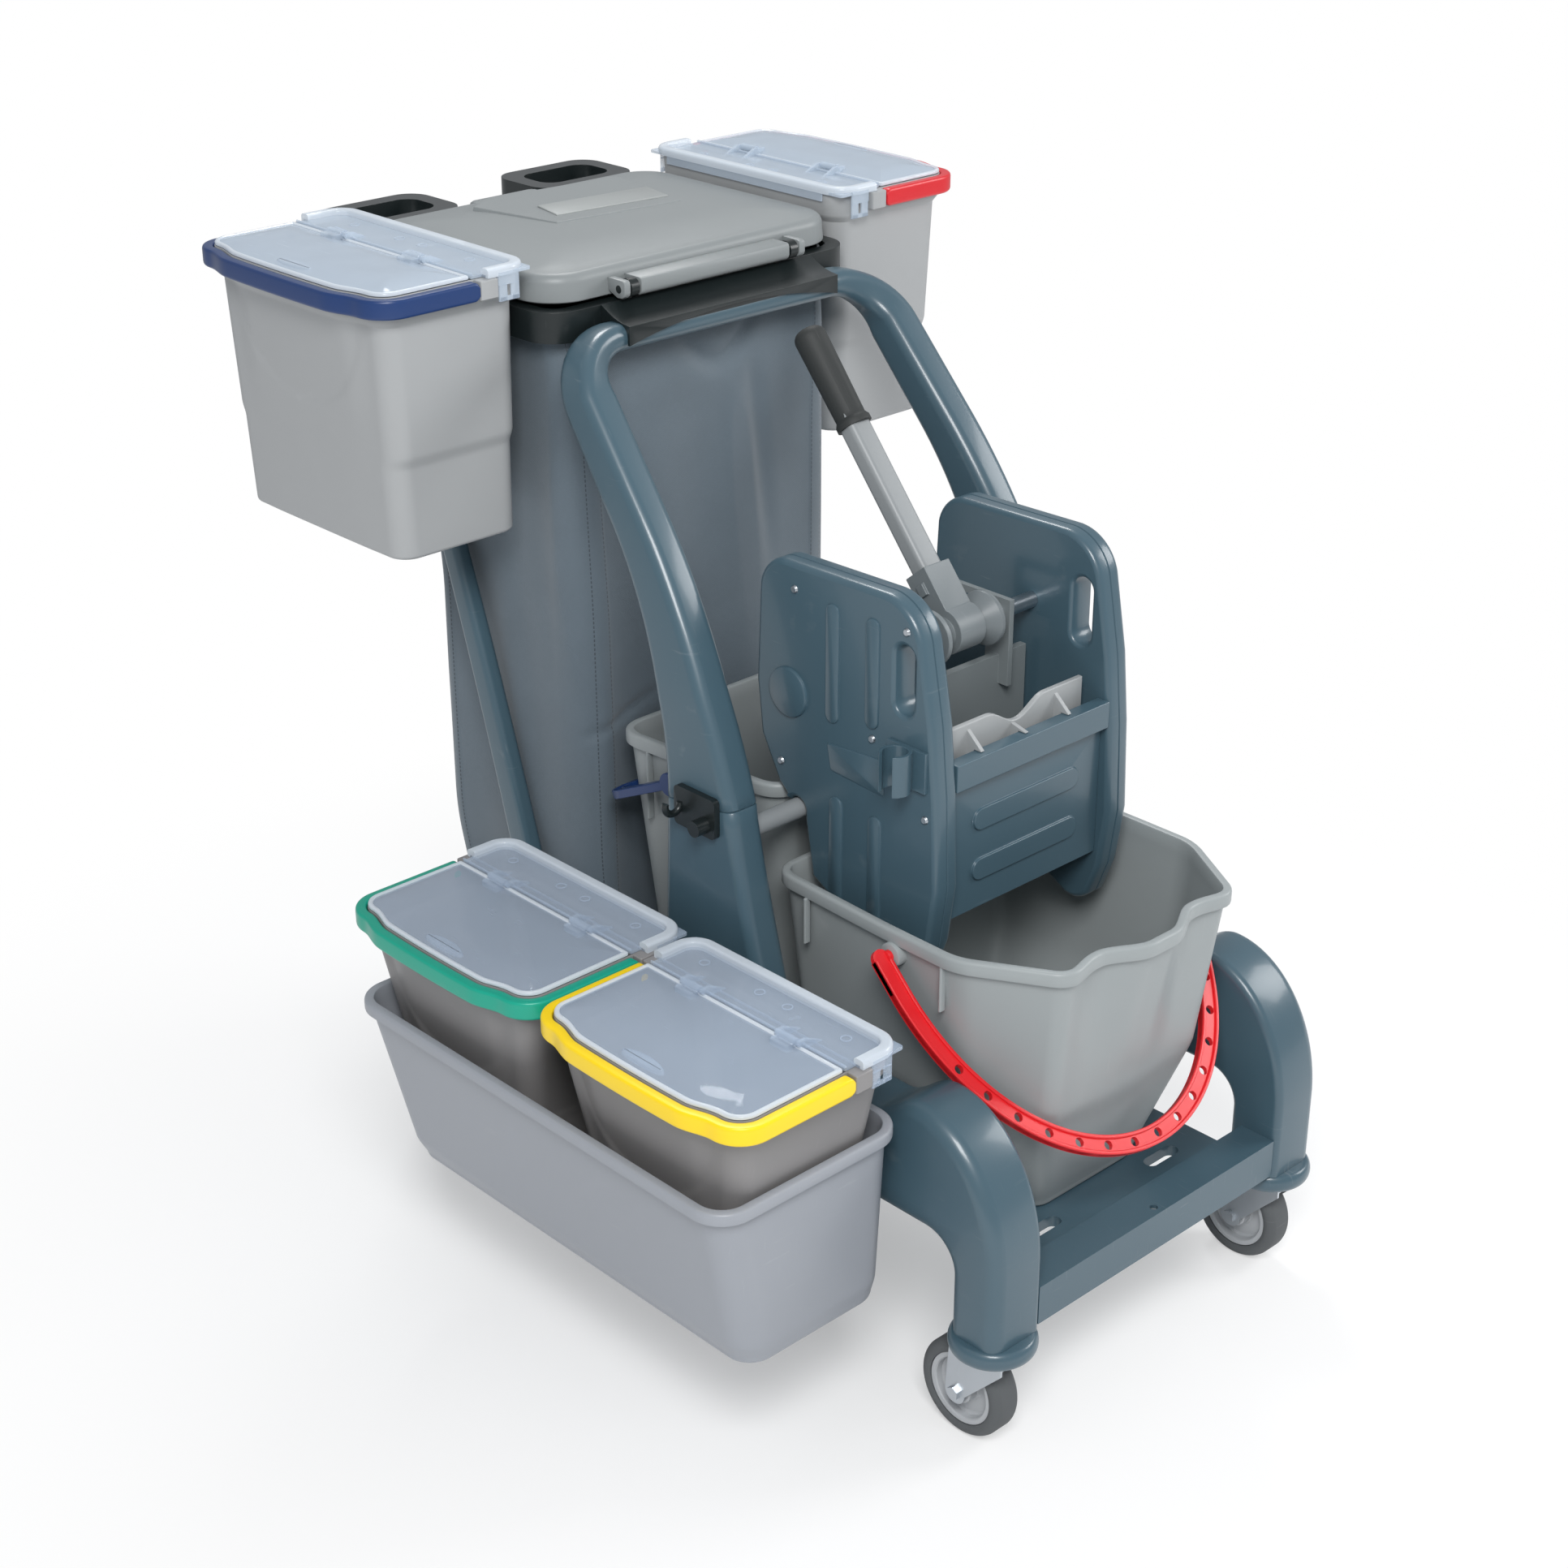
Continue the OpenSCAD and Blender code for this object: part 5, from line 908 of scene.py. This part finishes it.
def box_wall(box, w):
    """Plan at height w: floor, draft to the step, step, draft to the flange, flange."""
    low = max(0.85, box["share"] + 0.04)
    share = np.interp(w, [FOOT_R, STEP_W], [1.0, low])
    share = share + (box["share"] - low) * smooth((w - STEP_W) / 16.0)
    share = share * np.interp(w, [STEP_W + 16.0, FLANGE_W], [1.0, 0.0])
    even_share = np.interp(w, [FOOT_R, FLANGE_W], [1.0, 0.0])
    bow = np.interp(w, [102.0, FLANGE_W, RIM_W], [0.8, BOW - 1.5, BOW])
    ends, back, front = [np.interp(w, [FLANGE_W, RIM_W, BOX_H], [5.0 + (f - 5.0) * part, g, 0.0])
                         for f, g, part in zip(box["floor"], (1.0, 0.6, 1.0), (share, share, even_share))]
    plan = box_plan(box, back, front, ends, bow)
    on_front = smooth((plan[:, 0] - box["depth"] + front + 9.0) / 5.0)
    panel = (plan[:, 1] / (0.72 * box["half"])) ** 2 + ((w - 236.0) / 104.0) ** 2
    plan[:, 0] -= 1.1 * on_front * smooth((1.05 - panel) / 0.10) * smooth((229.0 - w) / 8.0)
    return plan


def box_cup(box):
    """Cup of a box: rounded floor edge, walls up to the flange, round rim, and the inside down to the floor."""
    up = np.concatenate([np.linspace(FOOT_R, 86.0, 6), np.linspace(STEP_W, 104.0, 9), np.linspace(108.0, 226.0, 30),
                         np.linspace(FLANGE_W, 236.0, 6), [246.0, 256.8]])
    foot, rim = box_wall(box, FOOT_R), box_wall(box, BOX_H)
    rings = [level(inset(foot, FOOT_R * (1.0 - math.sin(t))), FOOT_R - FOOT_R * math.cos(t))
             for t in np.radians((0, 20, 40, 60, 80))]
    rings += [level(box_wall(box, w), w) for w in up]
    rings += [level(inset(rim, d), w) for d, w in ((0.4, 257.7), (1.2, BOX_H), (2.0, 257.7))]
    rings += [level(inset(box_wall(box, w), WALL), w) for w in up[::-2]]
    rings += [level(inset(foot, 3.4), 3.6), level(inset(foot, 6.0), WALL)]
    return loft(rings)


for name, (_, _, box) in PLACES.items():
    parts = [box_cup(box)]
    for s in SIDES:
        v0, v1 = sorted((s * (box["half"] - 1.5), s * (box["half"] + 11.6)))
        parts.append(brick(40.0, v0, 240.0, 60.0, v1, BOX_H))
        if box is HUNG:
            v0, v1 = s * 60.0 - 15.0, s * 60.0 + 15.0
            parts += [brick(-9.9, v0, 230.3, 1.0, v1, 234.3), brick(-9.9, v0, 221.3, -6.9, v1, 231.3)]
    grey = box_grey if box is HUNG else warm_grey
    box_piece(name, "_box_shell", together(*parts), "_box", grey, 32.0)
print("boxes:", len(PLACES))

# %% [markdown]
# The bar is a rounded section carried along the rim's own line, a little outside it. Its ends are rounded off about
# the pivots, so that it can swing forwards past the grey block behind it.

# %% Coloured bars
BAR_OUT, BAR_HALF, PIN_R = 6.1, 5.5, 4.0
BAR_TIP = np.array([61.0, 61.3, 62.2, 63.6, 65.2, 67.0, 74.0])


def bar_shape(box):
    """Bar of 11 by 18 mm along the rim, from pivot to pivot round the front, with its last 6 mm rounded in height."""
    side = box["half"] + BAR_OUT
    plan = inset(box_plan(box, 0.0, 0.0, 0.0, BOW), -BAR_OUT)[:73]
    left, right = [np.column_stack([BAR_TIP, np.full(len(BAR_TIP), s * side)]) for s in SIDES]
    line = np.vstack([left, plan, right[::-1]])
    end = 3.0 + np.sqrt(np.maximum(36.0 - np.maximum(67.0 - BAR_TIP, 0.0) ** 2, 0.01))
    tall = np.concatenate([end, np.full(len(plan), BAR_H / 2.0), end[::-1]])
    thick = np.full(len(line), BAR_HALF)
    thick[[0, -1]] = 4.6
    section = round_box(-1.0, -1.0, 1.0, 1.0, 0.36, 6)
    return carried(line, section, BOX_H - BAR_H / 2.0, thick[:, None], tall[:, None])


for name, paint in (("blue", blue), ("red", red), ("green", green), ("yellow", yellow)):
    box = PLACES[name][2]
    parts = [bar_shape(box)]
    for s in SIDES:
        v0, v1 = sorted((s * (box["half"] - 3.0), s * (box["half"] + 4.0)))
        pin = [(0.01, v0), (PIN_R, v0), (PIN_R, v1), (0.01, v1)]
        parts.append(turned(pin, (70.0, 0.0, BOX_H - BAR_H / 2.0), "y", 24))
    box_piece(name, "_bar", together(*parts), "_handle", paint, 50.0)
print("coloured bars:", len(PLACES))

# %% [markdown]
# The fixed lid is a thin panel with a high round border at the back and ends, skirts at the ends, and a clip on each
# side. Short pins between ribs wait for the flap's knuckles.

# %% Fixed lids
HINGE_U, HINGE_W, HINGE_V = 67.0, 265.5, 62.0
LID_W = BOX_H + 0.3


def lid_border(half):
    """Round-topped border of the fixed lid: a section 12 wide and 8 high along the ends and the back."""
    plan = round_box(-3.0, -half - 8.0, 90.0, half + 8.0, 26.0, 16)
    line = np.vstack([[(49.0, half + 2.0)], inset(plan, 6.0)[32:64], [(49.0, -half - 2.0)]])
    section = np.vstack([[(-5.6, 0.0), (5.9, 0.0)], arc((2.4, 4.9), 3.5, 3.5, 0, 90, 8),
                         arc((-3.2, 6.0), 2.4, 2.4, 90, 180, 6)])
    return carried(line, section, LID_W)


def knuckle(v, length, radius, bore=0.01):
    """Short rod or tube along v about the flap's hinge line."""
    h = length / 2.0
    profile = [(bore, -h), (radius - 0.4, -h), (radius, 0.4 - h), (radius, h - 0.4), (radius - 0.4, h), (bore, h)]
    return turned(profile, (HINGE_U, v, HINGE_W), "y", 24)


def web(v):
    """Triangular rib that carries one end of the flap's pin."""
    side = np.array([(40.0, 259.0), (61.5, 259.0), (68.4, 262.4), (70.0, 265.4), (68.6, 268.2), (60.0, 268.6)])
    return loft([upright(side, y) for y in (v + 1.8, v - 1.8)])


def fixed_lid(box):
    """Fixed lid of a box: panel, skirts, clips with a slit, ribs and pins."""
    half = box["half"]
    panel = round_box(-2.0, -half - 7.0, 49.0, half + 7.0, 3.0, 4)
    parts = [stack(panel, ((0.0, LID_W), (0.0, 260.8), (0.6, 261.3))),
             brick(48.0, 1.0 - half, LID_W, 61.8, half - 1.0, 261.3, 0.5),
             brick(59.6, 1.0 - half, 261.0, 61.8, half - 1.0, 263.6, 0.5),
             brick(-3.0, 21.0 - half, 250.0, -0.6, half - 21.0, 259.0, 0.5)]
    for s in SIDES:
        v0, v1 = sorted((s * (half + 5.5), s * (half + 8.0)))
        parts += [brick(u0, v0, w0, u1, v1, w1, 0.5) for u0, w0, u1, w1 in (
            (13.0, 249.0, 38.0, 262.0), (13.0, 234.0, 23.0, 250.0), (27.0, 234.0, 37.0, 250.0),
            (13.0, 234.0, 37.0, 238.5))]
        parts.append(knuckle(HINGE_V * s, 31.0, 1.98))
        parts += [web(HINGE_V * s + e * 13.5) for e in SIDES]
        ring = [(4.2, 261.2), (5.4, 261.2), (5.4, 261.8), (4.2, 261.8)]
        parts += [turned(ring, (26.0, v, 0.0), "z", 32) for v in (s * 18.0, s * 92.0)]
    return together(*parts)


# %% [markdown]
# The flap is a thin sheet with a rolled edge, a raised field and a thumb rest in the middle of the front. Its two
# bored knuckles turn on the pins of the fixed lid.

# %% Flaps
FLAP_GAP, FLAP_BACK = 0.8, 63.6
RIM_STEPS = ((1.0, 258.4), (0.0, 259.2), (0.0, 260.8), (0.7, 262.0), (2.0, 262.6), (3.6, 262.4), (4.8, 261.5),
             (4.8, 259.6), (3.4, 258.4))
FIELD_STEPS = ((4.6, 261.0), (6.0, 261.3), (9.0, 262.0), (13.0, 263.0), (17.0, 263.9), (21.0, 264.6), (25.0, 265.2),
               (29.0, 265.6), (34.0, 265.9), (44.0, 266.0))


def flap_rings(box, steps):
    """Plans of the flap at steps of (inset, height), with tight corners at the hinge and round ones at the front."""
    return [level(bowed(box["depth"] - FLAP_GAP - d, box["half"] - FLAP_GAP - d, FLAP_BACK + d, BOW,
                        max(21.0 - d, 4.0), max(3.0 - d, 0.8), 5), w) for d, w in steps]


def flap(box):
    """Field of a flap: a thin sheet that rises in a soft slope from its edge, two knuckles and a thumb rest."""
    parts = [loft(flap_rings(box, FIELD_STEPS))]
    for v in (-HINGE_V, HINGE_V):
        parts += [knuckle(v, 21.6, 4.5, 2.2), brick(69.6, v - 10.8, 260.0, 80.0, v + 10.8, 267.2)]
    a = np.linspace(0.0, 2.0 * math.pi, 48, endpoint=False)
    rest = np.column_stack([box["depth"] - 6.0 + 7.5 * np.cos(a) * (1.0 - 0.25 * np.cos(a)), 27.0 * np.sin(a)])
    return together(*parts, stack(rest, ((0.0, 260.5), (0.6, 263.2), (1.8, 264.3), (3.4, 264.5))))


for name, (_, _, box) in PLACES.items():
    glass = milky if box is HUNG else clear
    box_piece(name, "_lid_panel", fixed_lid(box), "_lid", glass, 35.0)
    box_piece(name, "_lid_border", lid_border(box["half"]), "_lid", frosted, 50.0)
    box_piece(name, "_flap_rim", loft(flap_rings(box, RIM_STEPS), ends="loop"), "_flap", frosted, 50.0)
    box_piece(name, "_flap_sheet", flap(box), "_flap", glass, 35.0)
print("clear lids:", len(PLACES))

# %% [markdown]
# ## Buckets and tub
# Both buckets and the tub are cups with a rolled rim. Each has a plan that changes with height: its corners are given
# as a short list and cut off by smooth curves, and the list moves inwards towards the floor. The front bucket has
# chamfered front corners, and its front edge dips in twice beside a spout that fades out half-way down.

# %% Buckets
def cup(plan_at, low, top, out, drop, foot=5.0, wall=3.0):
    """Cup from its plan at each height: rounded floor edge, wall, rim rolled outwards by out over drop, inside."""
    base, rim = plan_at(low + foot), plan_at(top)
    rings = [level(inset(base, foot * (1.0 - math.sin(t))), low + foot - foot * math.cos(t))
             for t in np.radians(np.linspace(0.0, 80.0, 5))]
    up = np.linspace(low + foot, top - drop - 2.0, 40)
    rings += [level(plan_at(z), z) for z in up]
    roll = [(0.2, drop + 0.8), (1.2 - out, drop), (0.3 - out, drop - 0.5), (-out, drop - 1.6), (-out, 3.4),
            (0.5 - out, 1.5), (1.6 - out, 0.4), (3.0 - out, 0.0), (wall - 2.0, 0.0), (wall - 0.8, 0.5), (wall, 2.0)]
    rings += [level(inset(rim, d), top - z) for d, z in roll]
    rings += [level(inset(plan_at(z), wall), z) for z in up[::-2]]
    rings += [level(inset(base, wall + 1.0), low + foot - 1.0), level(inset(base, wall + 4.0), low + wall)]
    return loft(rings)


def bosses(x0, x1, y, z, r):
    """Round boss along X between x0 and x1, with a soft outer edge, and its mirror image."""
    profile = [(0.01, x0), (r, x0), (r, x1 - 1.2), (r - 0.4, x1 - 0.4), (r - 1.2, x1), (0.01, x1)]
    return both_sides(turned(profile, (0.0, y, z), "x", 40))


def between(z, heights, *columns):
    """Values of several columns, each given at the same heights, at height z."""
    return [float(np.interp(z, heights, column)) for column in columns]


BUCKET_RIM, BUCKET_DROP, EAR_R = 6.0, 14.0, 12.0
BAIL_Y, BAIL_Z = 150.0, 435.3


def front_plan(z):
    """Front bucket: back width, side width, chamfer and front at a height, with two dips beside the spout."""
    back_w, side_w, corner_w, y_back, y_side, y_chamfer, y_front, spout = between(
        z, (162.3, 289.3, 445.3), (96, 147, 160), (98, 151, 166), (68, 106, 115), (284, 302, 312), (160, 160, 160),
        (100, 80, 76), (46, 8, -10), (0, 3, 20))
    corners = [(-corner_w, y_front), (corner_w, y_front), (side_w, y_chamfer), (side_w, y_side), (back_w, y_back),
               (-back_w, y_back), (-side_w, y_side), (-side_w, y_chamfer)]
    plan = even(filleted(corners, (13, 13, 16, 30, 22, 22, 30, 16), 10), 520)
    on_front = smooth((y_front + 5.0 - plan[:, 1]) / 4.0)
    x = np.abs(plan[:, 0]) / corner_w
    dip = 0.36 * smooth((0.96 - x) / 0.34) - 1.05 * smooth((0.58 - x) / 0.46)
    plan[:, 1] += spout * dip * on_front
    return plan


def rear_plan(z):
    """Rear bucket: a rounded trapezium, wider at the back, drafted to the floor."""
    d, e = between(z, (237.3, 382.3, 513.3), (20.0, 10.0, 0.0), (24.0, 11.0, 0.0))
    corners = [(-136.0 + e, 340.0 + d), (136.0 - e, 340.0 + d), (156.0 - e, 548.0 - d), (-156.0 + e, 548.0 - d)]
    return even(filleted(corners, (26, 26, 30, 30), 14), 360)


# Both cups take the bucket grey with its painted teal reflection.
ribs = [brick(x, y - 1.6, 398.0, x + 7.5, y + 1.6, 446.0, 0.5) for x in (-170.5, 163.0) for y in (92.0, 268.0)]
shape = together(cup(front_plan, 157.3, 459.3, BUCKET_RIM, BUCKET_DROP), *ribs,
                 bosses(163.4, 176.0, BAIL_Y, BAIL_Z, EAR_R))
piece("front_bucket_cup", shape, "front_bucket", bucket_grey_painted_bounce, angle=35.0)
ribs = [brick(x, 505.0, 440.0, x + 8.5, 508.0, 514.0, 0.5) for x in (-158.5, 150.0)]
shape = together(cup(rear_plan, 232.3, 527.3, BUCKET_RIM, BUCKET_DROP), *ribs,
                 bosses(143.0, 165.0, 452.0, 503.3, EAR_R))
piece("rear_bucket_cup", shape, "rear_bucket", bucket_grey_painted_bounce, angle=35.0)
print("buckets: 2")

# %% [markdown]
# The red bail is a flat band bent to half an ellipse, with a row of holes, a raised rib along each edge and round ends
# at the pins. It's drawn lying flat with its pins on the X axis and then tilted forwards about them. The blue bail of
# the rear bucket keeps its solid.

# %% Bails
ARM_X, ARM, REACH, WIDE, TILT = 177.0, 34.0, 216.0, 19.0, math.radians(45.0)
BAIL_HOLES, HOLE_R, HOLE_STEP, RIB = 15, 4.6, 9.6, 3.6
MIRROR = np.array([-1.0, 1.0])


def bail_line(out, a):
    """Point of the band at angle a round the half ellipse, out millimetres beyond its inner edge along the normal."""
    c, s = np.cos(a), np.sin(a)
    n = np.column_stack([REACH * c, -ARM_X * s])
    n = n / np.linalg.norm(n, axis=1, keepdims=True)
    return np.column_stack([ARM_X * c, -ARM - REACH * s]) + out * n


def bail_edge(out):
    """One edge of the band from the right pin round to the left pin."""
    side = np.column_stack([np.full(8, ARM_X + out), np.linspace(0.0, -ARM, 8, endpoint=False)])
    return np.vstack([side, bail_line(out, np.linspace(0.0, math.pi, 90)), (side * MIRROR)[::-1]])


def tilted(points):
    """Turns points drawn flat about the pins' line and moves them to the pivot."""
    x, y, z = points.T
    c, s = math.cos(TILT), math.sin(TILT)
    return np.column_stack([x, BAIL_Y + y * c - z * s, BAIL_Z + y * s + z * c])


def band(low, high):
    """Flat band with round holes between two heights: two tessellated faces and the walls of each outline."""
    tip = arc((ARM_X + WIDE / 2.0, 0.0), WIDE / 2.0, WIDE / 2.0, 0, 180, 14)
    outline = np.vstack([bail_edge(WIDE)[1:-1], tip * MIRROR, bail_edge(0.0)[::-1][1:-1], tip[::-1]])[::-1]
    turn = np.radians(90.0 + (np.arange(BAIL_HOLES) - (BAIL_HOLES - 1) / 2.0) * HOLE_STEP)
    loops = [outline] + [disc(x, y, HOLE_R, 20) for x, y in bail_line(WIDE / 2.0, turn)]
    flat = np.vstack(loops)
    count = len(flat)
    faces = [list(f) for f in tessellate_polygon([[(*p, 0.0) for p in loop] for loop in loops])]
    walls, start = [], 0
    for loop in loops:
        i = start + np.arange(len(loop))
        j = np.roll(i, -1)
        walls += np.column_stack([i, j, j + count, i + count]).tolist()
        start += len(loop)
    return (np.vstack([level(flat, low), level(flat, high)]),
            [f[::-1] for f in faces] + [[v + count for v in f] for f in faces] + walls)


def rib(out0, out1, low, high):
    """Raised edge of the band between two offsets, a rectangle with cut corners carried along it."""
    section = ((out0, low), (out1, low), (out1, high - 0.8), (out1 - 0.8, high), (out0 + 0.8, high), (out0, high - 0.8))
    return loft(np.stack([level(bail_edge(out), z) for out, z in section], axis=1)[::-1])


points, faces = together(band(-3.0, 2.0), rib(0.0, RIB, -4.5, 4.5), rib(WIDE - RIB, WIDE, -4.5, 4.5),
                         bosses(176.3, 181.0, 0.0, 0.0, 6.0))
piece("front_bail_band", (tilted(points), faces), "front_bail", bail_red, bevel=0.5)
dressed("rear_bail", blue, bevel=1.4, angle=45.0)
print("bails: 2, the front one with", BAIL_HOLES, "holes")


# %% [markdown]
# The tub is a long cup beside the cart. Its inner side is nearly upright, and two hooks hang it in the left beam.

# %% Tub
def tub_plan(z):
    """Tub: a long rounded rectangle, drafted on the outer side and the ends and upright beside the cart."""
    side, out, ends = between(z, (150.0, 166.0, 323.0), (8, 7, 7), (50, 42, 7), (20, 16, 7))
    return even(round_box(-478.0 + out, 50.0 + ends, -250.0 - side, 580.0 - ends, 28.0, 14), 420)


hooks = [brick(x, y - 25.0, z, -216.0, y + 25.0, 318.3) for x, z in ((-260.5, 313.3), (-224.0, 287.0))
         for y in (165.0, 480.0)]
piece("tub_cup", together(cup(tub_plan, 142.0, 335.0, 7.0, 12.0, 8.0), *hooks), "tub", tub_grey, angle=35.0)
print("tub hooks:", len(hooks) // 2)

# %% [markdown]
# ## Wringer
# Each side plate is two moulded halves with a seam between them: a rounded shell with a groove along the middle of its
# edge, an oval hand hole, long raised pads, a round boss and a bare raised plate.

# %% Side plates
PLATE_IN, PLATE_OUT, PAD_FROM = 105.0, 135.0, 134.0
EDGE_IN, EDGE_OUT, HOLE_EDGE = 5.0, 5.6, 4.0


def plate_view():
    """Side view of a plate in (y, z): front foot, notch for the cross tube, rounded back, top and front edge."""
    return np.vstack([arc((174.0, 410.0), 26.0, 26.0, 215, 300, 14), [(296.0, 447.0), (305.7, 504.0)],
                      arc((316.0, 512.0), 10.3, 10.3, 180, 25, 14), [(342.0, 532.0), (366.0, 576.0)],
                      arc((332.0, 632.0), 40.0, 40.0, -10, 0, 6), arc((330.0, 722.0), 38.0, 38.0, 10, 85, 16),
                      arc((206.0, 713.0), 50.0, 50.0, 93, 165, 16),
                      [(143.0, 650.0), (136.0, 580.0), (132.0, 490.0), (140.0, 430.0)]])


def stadium(y, z, length, width, count=16):
    """Upright slot outline in (y, z): two half circles joined by straights."""
    r, h = width / 2.0, (length - width) / 2.0
    return np.vstack([arc((y, z + h), r, r, 0, 180, count), arc((y, z - h), r, r, 180, 360, count)])


def side_loft(outline, steps, ends="flat"):
    """Loft of an outline of (y, z) points carried along X in steps of (x, inset)."""
    return loft([across(inset(outline, d), x) for x, d in steps], ends)


def plate_face(x, d, flip):
    """Flat face of a plate at x between its outline, moved in by d, and the edge of its hand hole."""
    rim, bore = across(inset(view, d), x), across(inset(slot, -HOLE_EDGE), x)
    faces = [list(f) for f in tessellate_polygon([rim.tolist(), bore.tolist()])]
    return np.vstack([rim, bore]), [f[::-1] for f in faces] if flip else faces


def pad(outline, x1, soft):
    """Pad with a soft edge on the outer face, raised to x1."""
    return side_loft(outline, ((PAD_FROM, 0.0), (x1 - soft, 0.0), (x1 - 0.3 * soft, 0.35 * soft), (x1, soft)))


view, slot = plate_view(), stadium(178.0, 687.0, 68.0, 24.0)
edge = ((PLATE_IN, EDGE_IN), (105.5, 3.2), (106.6, 1.7), (108.4, 0.6), (110.6, 0.0), (118.9, 0.0), (119.5, 1.0),
        (120.5, 1.0), (121.1, 0.0), (128.4, 0.0), (130.8, 0.5), (132.8, 1.6), (134.3, 3.3), (PLATE_OUT, EDGE_OUT))
hole = ((PLATE_OUT, -HOLE_EDGE), (134.4, -2.2), (133.2, -0.8), (131.5, 0.0), (108.5, 0.0), (106.8, -0.8),
        (105.6, -2.2), (PLATE_IN, -HOLE_EDGE))
bare = np.array([(200.0, 565.0), (269.0, 569.0), (274.0, 595.0), (201.0, 601.0)])
pads = [pad(stadium(y, z, length, 17.0), 137.0, 1.6) for y, z, length in (
    (268.0, 676.0, 118.0), (217.0, 682.0, 108.0), (262.0, 488.0, 110.0), (211.0, 486.0, 110.0))]
pads += [pad(disc(326.0, 630.0, 25.0, 40), 138.4, 2.4), pad(filleted(bare, (3, 3, 3, 3), 5), 136.2, 0.8)]
right = together(side_loft(view, edge, "open"), side_loft(slot, hole, "open"), plate_face(PLATE_IN, EDGE_IN, True),
                 plate_face(PLATE_OUT, EDGE_OUT, False), *pads)
piece("wringer_right_shell", right, "wringer_right_plate", slate, angle=32.0)
piece("wringer_left_shell", mirrored(right), "wringer_left_plate", slate, angle=32.0)
print("wringer plates: 2, pads", len(pads))

# %% [markdown]
# The fixed front jaw is a thin plate with a dip in its upper edge and three fins. The front panel, the press, the
# lever and the small hardware keep their solids.

# %% Front panel, jaw, press and lever
dressed("wringer_front_panel", slate, bevel=1.2)
JAW_HALF, JAW_LOW, JAW_TOP = 92.0, 462.0, 630.0
k = np.linspace(0.0, 1.0, 33)
dip = np.column_stack([40.0 - 80.0 * k, 622.0 + 8.0 * np.cos(2.0 * np.pi * k)])
jaw = np.vstack([[(-JAW_HALF, JAW_LOW), (JAW_HALF, JAW_LOW), (JAW_HALF, JAW_TOP), (44.0, JAW_TOP)], dip,
                 [(-44.0, JAW_TOP), (-JAW_HALF, JAW_TOP)]])
parts = [loft([upright(inset(jaw, d), y) for y, d in ((167.0, 0.8), (166.2, 0.0), (161.8, 0.0), (161.0, 0.8))])]
gusset = np.array([(162.0, 462.0), (152.4, 465.0), (152.4, 607.3), (143.0, 607.3), (143.0, 608.4), (162.0, 625.0)])
for x, low in ((-66.0, 0.0), (-6.0, 12.0), (54.0, 0.0)):
    fin = gusset - np.where(gusset[:, 1:] > 610.0, (0.0, low), 0.0)
    parts.append(side_loft(fin, ((x - 2.2, 0.0), (x + 2.2, 0.0))))
piece("front_jaw_plate", together(*parts), "front_jaw", jaw_grey, bevel=0.6)
# The press plate takes the darker grey with painted shade.
for node, material, bevel, angle in (
        ("press_plate", press_grey_painted_shade, 0.8, 35.0), ("lever_shaft", zinc, 0.4, 35.0), ("lever_hub", hub_grey, 1.2, 35.0),
        ("lever_tube", lever_grey, 0.6, 50.0), ("handle_clip", slate, 0.7, 45.0), ("plate_screws", zinc, 0.5, 35.0),
        ("cross_tube", lever_grey, 0.6, 45.0), ("hook_plate", black, 0.9, 45.0),
        ("lever_grip", grip_black, 0.7, 45.0)):
    dressed(node, material, bevel, angle)
print("wringer dressed")

# %% [markdown]
# ## Floor
# The floor is a plain pale sheet under the wheels, and isn't part of the cart. Near the cart it's lit and takes the
# shadow. Further out it fades to the white of the backdrop, by the distance from the middle of the cart.

# %% Floor
FLOOR_HALF = 9.0
floor_mesh = bpy.data.meshes.new("floor")
floor_mesh.from_pydata([(x * FLOOR_HALF, y * FLOOR_HALF, 0.0) for x, y in ((-1, -1), (1, -1), (1, 1), (-1, 1))], [],
                       [(0, 1, 2, 3)])
floor = bpy.data.objects.new("floor", floor_mesh)
scene.collection.objects.link(floor)
floor_white, tree, shader = new_material("floor_white")
feed(tree, shader, {"Base Color": (0.92, 0.92, 0.92, 1.0), "Roughness": 0.9, "Specular IOR Level": 0.1})
where = tree.nodes.new("ShaderNodeTexCoord").outputs["Object"]
away = add(tree, "ShaderNodeVectorMath", {0: where}, operation="LENGTH").outputs["Value"]
spread = {"Value": away, "From Min": 0.25, "From Max": 1.20, "To Min": 0.35, "To Max": 1.0}
fade = add(tree, "ShaderNodeMapRange", spread, interpolation_type="SMOOTHSTEP").outputs["Result"]
glow = add(tree, "ShaderNodeEmission", {"Strength": 1.0}).outputs["Emission"]
blend = add(tree, "ShaderNodeMixShader", {"Fac": formula(tree, ("MULTIPLY", shown(tree), fade)),
                                          1: shader.outputs["BSDF"], 2: glow})
feed(tree, tree.nodes["Material Output"], {"Surface": blend.outputs["Shader"]})
floor.data.materials.append(floor_white)
